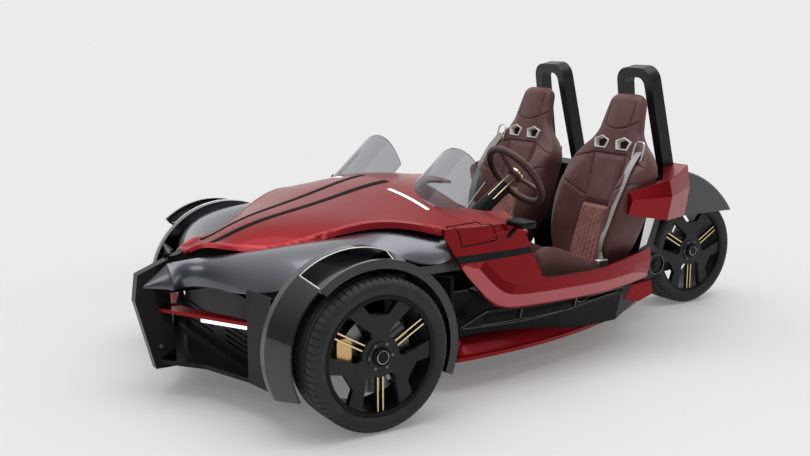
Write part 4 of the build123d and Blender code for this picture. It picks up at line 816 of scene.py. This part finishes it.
# Steering wheel: leather grip over the rim with a seam, boss, and gold trims on the spokes
HUB = Vector((station(-1.000), 0.337, 0.832))
COLUMN = Vector((math.cos(math.radians(36)), 0, -math.sin(math.radians(36))))
WHEEL_R = 0.152
GRIP = (0.0172, 0.0166)
SEAM_R = 0.0011
SEAM_IN = 0.0168
TRIM_SPAN = (0.034, 0.138)
TRIM_HALF = 0.0022
TRIM_OFF = 0.0085
TRIM_THICK = 0.0016
TRIM_LIFT = 0.0051
BOSS_LIFT = 0.0048
BOSS = (
    # radius, out
    (0.0004, 0.0), (0.036, 0.0), (0.036, 0.010), (0.033, 0.0135), (0.028, 0.0145), (0.0265, 0.0135),
    (0.012, 0.0150), (0.0004, 0.0152),
)
BOSS_RING_LIFT = 0.0050
BOSS_RING = ((0.0358, 0.0), (0.0382, 0.0), (0.0382, 0.0075), (0.0358, 0.0075))


def off_column(degrees):
    """Direction square to the steering column."""
    a = math.radians(degrees)
    return math.cos(a) * Vector((0, 1, 0)) + math.sin(a) * Vector((-COLUMN.z, 0, COLUMN.x))


grip = [(WHEEL_R + GRIP[0] * math.cos(a), GRIP[1] * math.sin(a)) for a in circle(28)]
piece("wheel_grip", *turned(grip, HUB, COLUMN, 144), leather_dark, "steering", "leather")
seam = [(WHEEL_R - SEAM_IN + SEAM_R * math.cos(a), SEAM_R * math.sin(a)) for a in circle(8)]
piece("wheel_seam", *turned(seam, HUB, COLUMN, 144), thread, "steering", "leather")
trims = []
for degrees in (90, 210, 330):
    run = off_column(degrees)
    turn = run.cross(COLUMN)
    base = HUB - COLUMN * TRIM_LIFT
    for off in (-TRIM_OFF, TRIM_OFF):
        corners = [base + run * r + turn * (off + w) for r, w in oblong(*TRIM_SPAN, TRIM_HALF)]
        trims.append(slab(corners, -COLUMN * TRIM_THICK))
bevelled(piece("wheel_spoke_trims", *join(trims), pale_gold, "steering", "gold_metal"), 0.0005)
piece("wheel_boss", *turned(BOSS, HUB - COLUMN * BOSS_LIFT, -COLUMN), satin_black, "steering", "satin_black")
piece("wheel_boss_ring", *turned(BOSS_RING, HUB - COLUMN * BOSS_RING_LIFT, -COLUMN), pale_gold, "steering",
      "gold_metal")

# Hood: rolled lip along each edge, held off the shoulder under it, in a lighter red that paints the highlight
# along the lip
LIP_FROM, LIP_TO = 0.430, -0.412
LIP_STEPS = 60
LIP_IN = 0.020
LIP_OUT = 0.008
LIP_DROP = 0.024
LIP_CLEAR = 0.003
LIP_LEAST = 0.005
LIP_EVEN = 4
for label, side in SIDES:
    rows = []
    for i in range(LIP_STEPS + 1):
        x = station(LIP_FROM + (LIP_TO - LIP_FROM) * i / LIP_STEPS)
        edge = max(node_slice("hood", x), key=lambda p: (round(side * p.y, 4), p.z))
        drop = LIP_DROP * min(1.0, 0.4 + 3 * i / LIP_STEPS)
        below = top_at("nose_shoulders", x, edge.y + side * LIP_OUT)
        if below is not None and below < edge.z:
            drop = min(drop, edge.z - below - LIP_CLEAR)
        elif below is not None:
            drop = LIP_LEAST
        rows.append((x, side * edge.y, edge.z, max(drop, LIP_LEAST)))
    rings = []
    for i, (x, y, z, _) in enumerate(rows):
        drop = float(np.mean([row[3] for row in rows[max(0, i - LIP_EVEN):i + LIP_EVEN + 1]]))
        inner = top_at("hood", x, side * (y - LIP_IN))
        rim = y + LIP_OUT
        rings.append(section(x, side, (
            (y - LIP_IN, inner + 0.0012), (y - 0.004, z + 0.0022), (rim - 0.0045, z + 0.0006),
            (rim - 0.003, z - 0.002), (rim + 0.004, z - drop), (rim - 0.004, z - drop - 0.001),
            (y - LIP_IN, inner - 0.006))))
    piece(f"hood_lip_{label}", *skin(rings), lip_highlight_red, "chassis", "red_paint", 24.0)

# Near-black fillets in the hood's two spine slots: painted shade in the slots
SPINE_FROM = (0.346, 0.034, 0.0490)
SPINE_TO = (-0.466, 0.092, 0.1220)
SPINE_STEPS = 48
for label, side in SIDES:
    rings = []
    for i in range(SPINE_STEPS + 1):
        x, near, far = (a + (b - a) * i / SPINE_STEPS for a, b in zip(SPINE_FROM, SPINE_TO))
        x = station(x)
        low = top_at("hood", x, side * (near - 0.006))
        high = top_at("hood", x, side * (far + 0.009))
        rings.append(section(x, side, ((near - 0.003, low + 0.0012), (far + 0.009, high + 0.0014),
                                       (far - 0.001, high - 0.006), (near + 0.001, low - 0.006))))
    piece(f"spine_fillet_{label}", *skin(rings), shade_and_joint_black, "chassis", "satin_black")

# Near-black sheet in the recess between the hood's edge and the shoulders, closed behind: painted shade in
# the recess
RECESS_X = (0.514, -0.405)
RECESS_TIP = (0.028, 0.578)
for label, side in SIDES:
    rings = []
    for at in np.linspace(*RECESS_X, 64):
        x = station(at)
        low = min((p for p in node_slice("nose_shoulders", x) if side * p.y > 0), key=lambda p: side * p.y)
        high = [p for p in node_slice("hood", x) if side * p.y > 0.02]
        y, z = RECESS_TIP
        if high:
            edge = max(high, key=lambda p: side * p.y)
            y, z = side * edge.y - 0.012, edge.z - 0.006
        foot_y, foot_z = side * low.y + 0.003, low.z - 0.006
        rings.append(section(x, side, ((y, z), (foot_y, foot_z), (foot_y - 0.004, foot_z - 0.004),
                                       (y - 0.006, z - 0.004))))
    piece(f"hood_recess_{label}", *skin(rings), shade_and_joint_black, "chassis", "satin_black")

# Near-black web behind the prow, so that the nose isn't seen through: painted shade behind the prow
NOSE_WEB = ((0.508, 0.420), (0.230, 0.420), (0.230, 0.590), (0.448, 0.578))
WEB_HALF = 0.010
corners = [Vector((station(x), -WEB_HALF, z)) for x, z in NOSE_WEB]
piece("nose_web", *slab(corners, Vector((0, 2 * WEB_HALF, 0))), shade_and_joint_black, "chassis", "satin_black")

# Shoulder tips: each shoulder runs out to a point on the prow, in the lighter shoulder black that paints a
# highlight
TIP_FROM = (0.5195, (0.0248, 0.5480), (0.0985, 0.4505))
TIP_TO = (0.6200, (0.0248, 0.4640), (0.0256, 0.4580))
TIP_BULGE = 0.016
TIP_THICK = 0.006
for label, side in SIDES:
    rings = []
    for k in np.linspace(0, 1, 14):
        x = station(TIP_FROM[0] + (TIP_TO[0] - TIP_FROM[0]) * k)
        top = Vector((*TIP_FROM[1], 0)).lerp(Vector((*TIP_TO[1], 0)), k)
        low = Vector((*TIP_FROM[2], 0)).lerp(Vector((*TIP_TO[2], 0)), k ** 0.7)
        away = Vector((top.y - low.y, low.x - top.x, 0)).normalized()
        outer = [top.lerp(low, t) + away * TIP_BULGE * (1 - k) * 4 * t * (1 - t)
                 for t in np.linspace(0, 1, 10)]
        ring = outer + [p - away * TIP_THICK for p in reversed(outer)]
        rings.append(section(x, side, [(p.x, p.y) for p in ring]))
    piece(f"shoulder_tip_{label}", *skin(rings), shoulder_highlight_black, "chassis", "gloss_black")

# Side panels: turned-under facet along the front and lower edge; its turned-under strip takes the paler red,
# a painted reflection of the floor
FACET_EDGE = ((-0.472, 0.540), (-0.502, 0.497), (-0.538, 0.457), (-0.578, 0.417), (-0.620, 0.383),
              (-0.672, 0.357), (-0.740, 0.343), (-0.86, 0.337), (-1.05, 0.331), (-1.291, 0.324),
              (-1.47, 0.328), (-1.615, 0.335))
FACET_W = 0.056
FACET_OUT = 0.011
FACET_FADE = 0.100
FACET_THICK = 0.006
FACET_TAPER = 21
FACET_POINTS = 5


def panel_y(x, z, side):
    """How far out a side panel's outer face stands."""
    place = surface("side_panels").ray_cast(Vector((x, side * ABOVE, z)), Vector((0, -side, 0)))[0]
    return side * place.y if place else None


for label, side in SIDES:
    rings = []
    path = smooth_path([(x, 0, z) for x, z in FACET_EDGE], 14)
    for i, p in enumerate(path):
        run = heading(path, i)
        inward = Vector((run.z, 0, -run.x))
        grow = min(1.0, 0.30 + i / FACET_TAPER) * min(1.0, 0.35 + (len(path) - 1 - i) / FACET_TAPER)
        spots = []
        for by, lift in ((0.0, 0.0012), (FACET_W * grow, FACET_OUT * grow), (FACET_FADE * grow, 0.0008)):
            spot = p + inward * by
            spots.append((spot, panel_y(station(spot.x), spot.z, side), lift))
        known = [y for _, y, _ in spots if y is not None]
        ring = [Vector((station(spot.x), side * ((known[0] if y is None else y) + lift), spot.z))
                for spot, y, lift in spots]
        rings.append(ring + [v - Vector((0, side * FACET_THICK, 0)) for v in (ring[2], ring[0])])
    facet = piece(f"sill_facet_{label}", *skin(rings), red_paint, "chassis", "red_paint", 15.0)
    facet.data.materials.append(floor_reflection_red)
    for face in facet.data.polygons:
        # the first strip of each ring is the turned-under one, which takes the painted floor reflection
        if len(face.vertices) == 4 and side * face.normal.y > 0.3 and face.index % FACET_POINTS == 0:
            face.material_index = 1

# Skirts: ramp from the outer edge up to the tub
SKIRT_X = (-0.485, -1.40)
SKIRT_TOP = 0.1504
SKIRT_EDGE = 0.1560
SKIRT_RISE = 0.062
for label, side in SIDES:
    rings = []
    for at in np.linspace(*SKIRT_X, 48):
        x = station(at)
        y = max(side * p.y for p in node_slice("side_skirts", x) if side * p.y > 0 and p.z < 0.2)
        rise = SKIRT_RISE * ease((-at - 0.47) / 0.06) * ease((1.47 + at) / 0.35) + 0.004
        rings.append(section(x, side, (
            (y - 0.002, SKIRT_TOP), (y - 0.012, SKIRT_EDGE), (y - 0.034, SKIRT_EDGE + 0.45 * rise),
            (y - 0.064, SKIRT_TOP + rise), (y - 0.070, 0.1500 + 0.6 * rise), (y - 0.066, SKIRT_TOP))))
    piece(f"skirt_ramp_{label}", *skin(rings), red_paint, "chassis", "red_paint", 50.0)

# Ducts: painted highlights along the edges of the black ladder frames, as thin dark-chrome tubes
DUCT_HIGHLIGHTS = (
    ((-0.484, 0.279), (-0.612, 0.341)),
    ((-0.500, 0.268), (-0.88, 0.261), (-1.10, 0.270), (-1.46, 0.288)),
    ((-0.592, 0.276), (-0.780, 0.276)),
    ((-0.788, 0.276), (-0.788, 0.326)),
    ((-0.800, 0.274), (-1.100, 0.274)),
    ((-1.110, 0.276), (-1.110, 0.318)),
    ((-1.120, 0.296), (-1.440, 0.296)),
)
DUCT_Y = 0.68
DUCT_LINE_R = 0.0021
DUCT_GAP = 0.002
for label, side in SIDES:
    bars = []
    for line in DUCT_HIGHLIGHTS:
        path = []
        for (x0, z0), (x1, z1) in zip(line, line[1:]):
            for k in np.linspace(0, 1, 14):
                spot = (station(x0 + (x1 - x0) * k), side * DUCT_Y, z0 + (z1 - z0) * k)
                path.append(on_node("side_ducts", spot)[0])
        path = [p for i, p in enumerate(path) if i == 0 or (p - path[i - 1]).length > DUCT_GAP]
        bars.append(tube(path, DUCT_LINE_R))
    piece(f"duct_highlights_{label}", *join(bars), dark_chrome, "chassis", "steel")

# Rear body: silver side panels; cover on the motor's end
PANEL_X = (-0.690, -0.792)
PANEL_Y = 0.52
PANEL_Z = (0.410, 0.615)
PANEL_LIFT = 0.004
PANEL_THICK = 0.006
for label, side in SIDES:
    rings = []
    for x in np.linspace(*PANEL_X, 8):
        ring = [on_node("rear_body", (x, side * PANEL_Y, z))[0] + Vector((0, side * PANEL_LIFT, 0))
                for z in np.linspace(*PANEL_Z, 8)]
        rings.append(ring + [v - Vector((0, side * PANEL_THICK, 0)) for v in reversed(ring)])
    piece(f"rear_side_panel_{label}", *skin(rings), silver, "chassis", "steel")
MOTOR_END = Vector((-0.9665, 0.2452, 0.292))
COVER = ((0.0004, 0.0), (0.054, 0.0), (0.054, 0.005), (0.050, 0.0085), (0.046, 0.0085), (0.044, 0.003),
         (0.024, 0.003), (0.021, 0.009), (0.0004, 0.010))
piece("motor_cover", *turned(COVER, MOTOR_END, (0, 1, 0)), gloss_black, "chassis", "gloss_black")
COVER_RING = ((0.0485, 0.0084), (0.0525, 0.0078), (0.0528, 0.0092), (0.0488, 0.0098))
piece("motor_cover_ring", *turned(COVER_RING, MOTOR_END, (0, 1, 0)), dark_chrome, "chassis", "steel")

# Front fenders: bright line round the window over each tyre
LINE_R = 0.0032
LINE_OUT = 0.040
LINE_IN = -0.112
ARCH = (52.0, 112.0)
ARCH_R = 0.3345
ARCH_FLAT = 0.005


def arch_r(w):
    """Radius of a fender's outer face, which rises towards the body."""
    return 0.376 - 0.042 * (w + 0.121) / 0.126 if w < ARCH_FLAT else ARCH_R


for label, side in SIDES:
    spots = [(ARCH[0], w) for w in np.linspace(LINE_OUT, LINE_IN, 22)]
    spots += [(a, LINE_IN) for a in np.linspace(ARCH[0] + 2, ARCH[1] - 2, 30)]
    spots += [(ARCH[1], w) for w in np.linspace(LINE_IN, LINE_OUT, 22)]
    path = []
    for degrees, w in spots:
        a, r = math.radians(degrees), arch_r(w)
        path.append(Vector((FRONT_X + r * math.cos(a), side * (WHEEL_Y + w), FRONT_R + r * math.sin(a))))
    piece(f"fender_line_{label}", *tube(path, LINE_R, 10), silver, "chassis", "steel")

# Charge flap: shut line across the hood's edge and the scuttle
FLAP = ((0.5770, 0.6186, 0.6987), (0.4204, 0.6121, 0.7030), (0.3751, 0.6900, 0.6365),
        (0.5418, 0.6817, 0.6242))
FLAP_BULGE = 0.03
FLAP_STEPS = 16
SHUT_R = 0.0024
outline = []
for start, end, bulge in zip(FLAP, FLAP[1:] + FLAP[:1], (0, FLAP_BULGE, 0, FLAP_BULGE)):
    for i in range(FLAP_STEPS):
        t = i / FLAP_STEPS
        spot = Vector(start).lerp(Vector(end), t) + bulge * math.sin(math.pi * t) * Vector((0, 1, 1))
        seats = [on_node(name, spot)[0] for name in ("hood", "side_panels")]
        outline.append(min(seats, key=lambda p: (p - spot).length))
outline.append(outline[0])
piece("charge_flap_line", *tube(outline, SHUT_R), shade_and_joint_black, "chassis", "satin_black")

# Small round lens low on each scuttle
LENS_AT = (0.3147, 0.6901, 0.6510)
LENS_PROFILE = ((0.0004, 0.0), (0.013, 0.0), (0.013, 0.003), (0.0105, 0.0045), (0.009, 0.003),
                (0.0004, 0.004))
for label, side in SIDES:
    place, normal = on_node("side_panels", (LENS_AT[0], side * LENS_AT[1], LENS_AT[2]))
    lens = turned(LENS_PROFILE, place, (normal.x, side * abs(normal.y), normal.z), 32)
    piece(f"scuttle_lens_{label}", *lens, gloss_black, "chassis", "gloss_black")

# Belts over the outer bolsters, with a guide at the shoulder and a buckle at the sill
BELT_W = 0.046
BELT_THICK = 0.0026
BELT_LIFT = 0.006
BELT_RUN = (
    # across the seat, up the backrest
    (0.188, 0.615), (0.196, 0.53), (0.204, 0.44), (0.206, 0.35), (0.198, 0.26), (0.180, 0.18), (0.168, 0.12),
)
BELT_END = (-1.315, 0.575, 0.428)
GUIDE_H = 0.094
GUIDE_W = 0.030
GUIDE_R = 0.0042
GUIDE_LIFT = 0.004
BUCKLE = ((-0.03, -0.05), (0.03, -0.05), (0.03, 0.03), (-0.03, 0.03))
BUCKLE_HALF = 0.012


def seat_spot(side, across_by, rise, lift):
    """Point over the surface of a backrest."""
    hip, across, up, out = seat_frame(side)
    reach = float(back_faces(np.array([across_by / back_half(rise)]), rise)[0][0])
    return Vector(hip + side * across_by * across + rise * up + (reach + lift) * out)


for label, side in SIDES:
    _, across, up, out = (Vector(v) for v in seat_frame(side))
    run = [seat_spot(side, u, rise, BELT_LIFT) for u, rise in BELT_RUN]
    end = Vector((station(BELT_END[0]), side * BELT_END[1], BELT_END[2]))
    wide = ((0, 0.94, 0.2 * side), (0.5 * side, 0.75, 0))
    strap = ribbon(smooth_path(run + [end], 10), wide, BELT_W, BELT_THICK)
    piece(f"belt_{label}", *strap, webbing, "chassis", "leather")
    middle = run[0] + GUIDE_LIFT * out
    loop = []
    for a in np.linspace(0, 2 * math.pi, 40):
        squash = (abs(math.cos(a)) ** 4 + abs(math.sin(a)) ** 4) ** 0.25
        loop.append(middle + across * (GUIDE_W * math.cos(a) / squash)
                    + up * (GUIDE_H / 2 * math.sin(a) / squash))
    piece(f"belt_guide_{label}", *tube(loop, GUIDE_R, 10), silver, "chassis", "steel")
    buckle = slab([end + Vector((x, -BUCKLE_HALF, z)) for x, z in BUCKLE], Vector((0, 2 * BUCKLE_HALF, 0)))
    bevelled(piece(f"belt_buckle_{label}", *buckle, silver, "chassis", "steel"), 0.006)

# Steering column: gold lines along the sleeve
SLEEVE_R = 0.0350
SLEEVE_SPAN = (0.03, 0.17)
lines = []
for degrees in (20, 70):
    away = off_column(degrees)
    path = [HUB + COLUMN * along + away * SLEEVE_R for along in np.linspace(*SLEEVE_SPAN, 12)]
    lines.append(tube(path, SHUT_R))
piece("column_lines", *join(lines), pale_gold, "chassis", "gold_metal")

# Camera at the photograph's angle
CAMERA_AT = (2.8805, 4.06, 1.484)
CAMERA_YAW = math.radians(-121.52)
CAMERA_PITCH = math.radians(-10.8)
LENS = 46.667
SENSOR = 36.0
cam = bpy.data.objects.new("camera", bpy.data.cameras.new("camera"))
scene.collection.objects.link(cam)
cam.data.sensor_width = SENSOR
cam.data.lens = LENS
level = math.cos(CAMERA_PITCH)
aim = Vector((math.cos(CAMERA_YAW) * level, math.sin(CAMERA_YAW) * level, math.sin(CAMERA_PITCH)))
cam.location = CAMERA_AT
cam.rotation_euler = aim.to_track_quat("-Z", "Y").to_euler()
scene.camera = cam

# Floor: lit near the part, fading to the plain background further out
BACKGROUND = 0.83
FLOOR = 0.80
FLOOR_HALF = 60.0
FADE_FROM, FADE_TO = 1.6, 3.2
FADE_LEAST = 0.20
floor_mesh = bpy.data.meshes.new("floor")
floor = bpy.data.objects.new("floor", floor_mesh)
scene.collection.objects.link(floor)
grid = bmesh.new()
bmesh.ops.create_grid(grid, x_segments=1, y_segments=1, size=FLOOR_HALF)
grid.to_mesh(floor_mesh)
grid.free()
floor_mat = bpy.data.materials.new("pale_floor")
floor_mat.use_nodes = True
tree = floor_mat.node_tree
tree.nodes.clear()
surface_out = add(tree, "OutputMaterial")
mix = add(tree, "MixShader")
lit = add(tree, "BsdfDiffuse", Color=(FLOOR, FLOOR, FLOOR, 1))
plain = add(tree, "Emission", Color=(BACKGROUND, BACKGROUND, BACKGROUND, 1))
coords = add(tree, "TexCoord")
radius = add(tree, "VectorMath", "LENGTH")
fade = add(tree, "MapRange", From_Min=FADE_FROM, From_Max=FADE_TO, To_Min=FADE_LEAST)
fade.interpolation_type = "SMOOTHSTEP"
wire(tree,
     (coords, "Object", radius, 0),
     (radius, "Value", fade, "Value"),
     (fade, "Result", mix, "Fac"),
     (lit, "BSDF", mix, 1),
     (plain, "Emission", mix, 2),
     (mix, "Shader", surface_out, "Surface"))
floor_mesh.materials.append(floor_mat)

# World: bright overhead and behind the part, dark on the near side, the plain background where it is seen
NEAR_LEVEL = 0.05
FAR_LEVEL = 0.92
SKY_FROM, SKY_TO = -0.25, 0.80
BRIGHT_SIDE = (-0.42, -0.70, 0.58)
GLOSSY_SHARE = 0.08
world = bpy.data.worlds.new("studio")
scene.world = world
world.use_nodes = True
tree = world.node_tree
back = tree.nodes["Background"]
back.inputs["Color"].default_value = (1, 1, 1, 1)
coords = add(tree, "TexCoord")
facing = add(tree, "VectorMath", "DOT_PRODUCT")
facing.inputs[1].default_value = BRIGHT_SIDE
sky = add(tree, "MapRange", From_Min=SKY_FROM, From_Max=SKY_TO, To_Min=NEAR_LEVEL, To_Max=FAR_LEVEL)
sky.interpolation_type = "SMOOTHSTEP"
rays = add(tree, "LightPath")
gloss = add(tree, "Math", "MULTIPLY")
gloss.inputs[1].default_value = GLOSSY_SHARE
clear = add(tree, "Math", "MAXIMUM")
seen = add(tree, "Math", "MAXIMUM")
strength = add(tree, "Mix", B=BACKGROUND)
wire(tree,
     (coords, "Generated", facing, 0),
     (facing, "Value", sky, "Value"),
     (rays, "Is Camera Ray", seen, 0),
     (rays, "Is Glossy Ray", gloss, 0),
     (rays, "Is Transmission Ray", clear, 0),
     (gloss, "Value", clear, 1),
     (clear, "Value", seen, 1),
     (seen, "Value", strength, "Factor"),
     (sky, "Result", strength, "A"),
     (strength, "Result", back, "Strength"))

# Soft studio light
LIGHTS = (
    # name, place, aimed at, width, height, watts
    ("top_softbox", (0.3, 0.5, 4.2), (0.1, 0.1, 0.4), 5.6, 3.2, 104.0),
    ("front_softbox", (4.6, 1.6, 3.0), (1.2, 0.4, 0.3), 2.4, 1.2, 22.0),
    ("side_softbox", (-0.4, 4.8, 3.2), (-0.2, 0.2, 0.4), 4.2, 0.9, 22.0),
    ("rear_softbox", (-4.4, -1.5, 2.8), (-0.6, 0.0, 0.6), 2.4, 1.2, 20.0),
)
for name, place, target, width, height, watts in LIGHTS:
    data = bpy.data.lights.new(name, "AREA")
    data.shape = "RECTANGLE"
    data.size = width
    data.size_y = height
    data.energy = watts
    lamp = bpy.data.objects.new(name, data)
    lamp.location = place
    lamp.rotation_euler = (Vector(target) - Vector(place)).to_track_quat("-Z", "Y").to_euler()
    scene.collection.objects.link(lamp)

scene.view_settings.view_transform = "Standard"
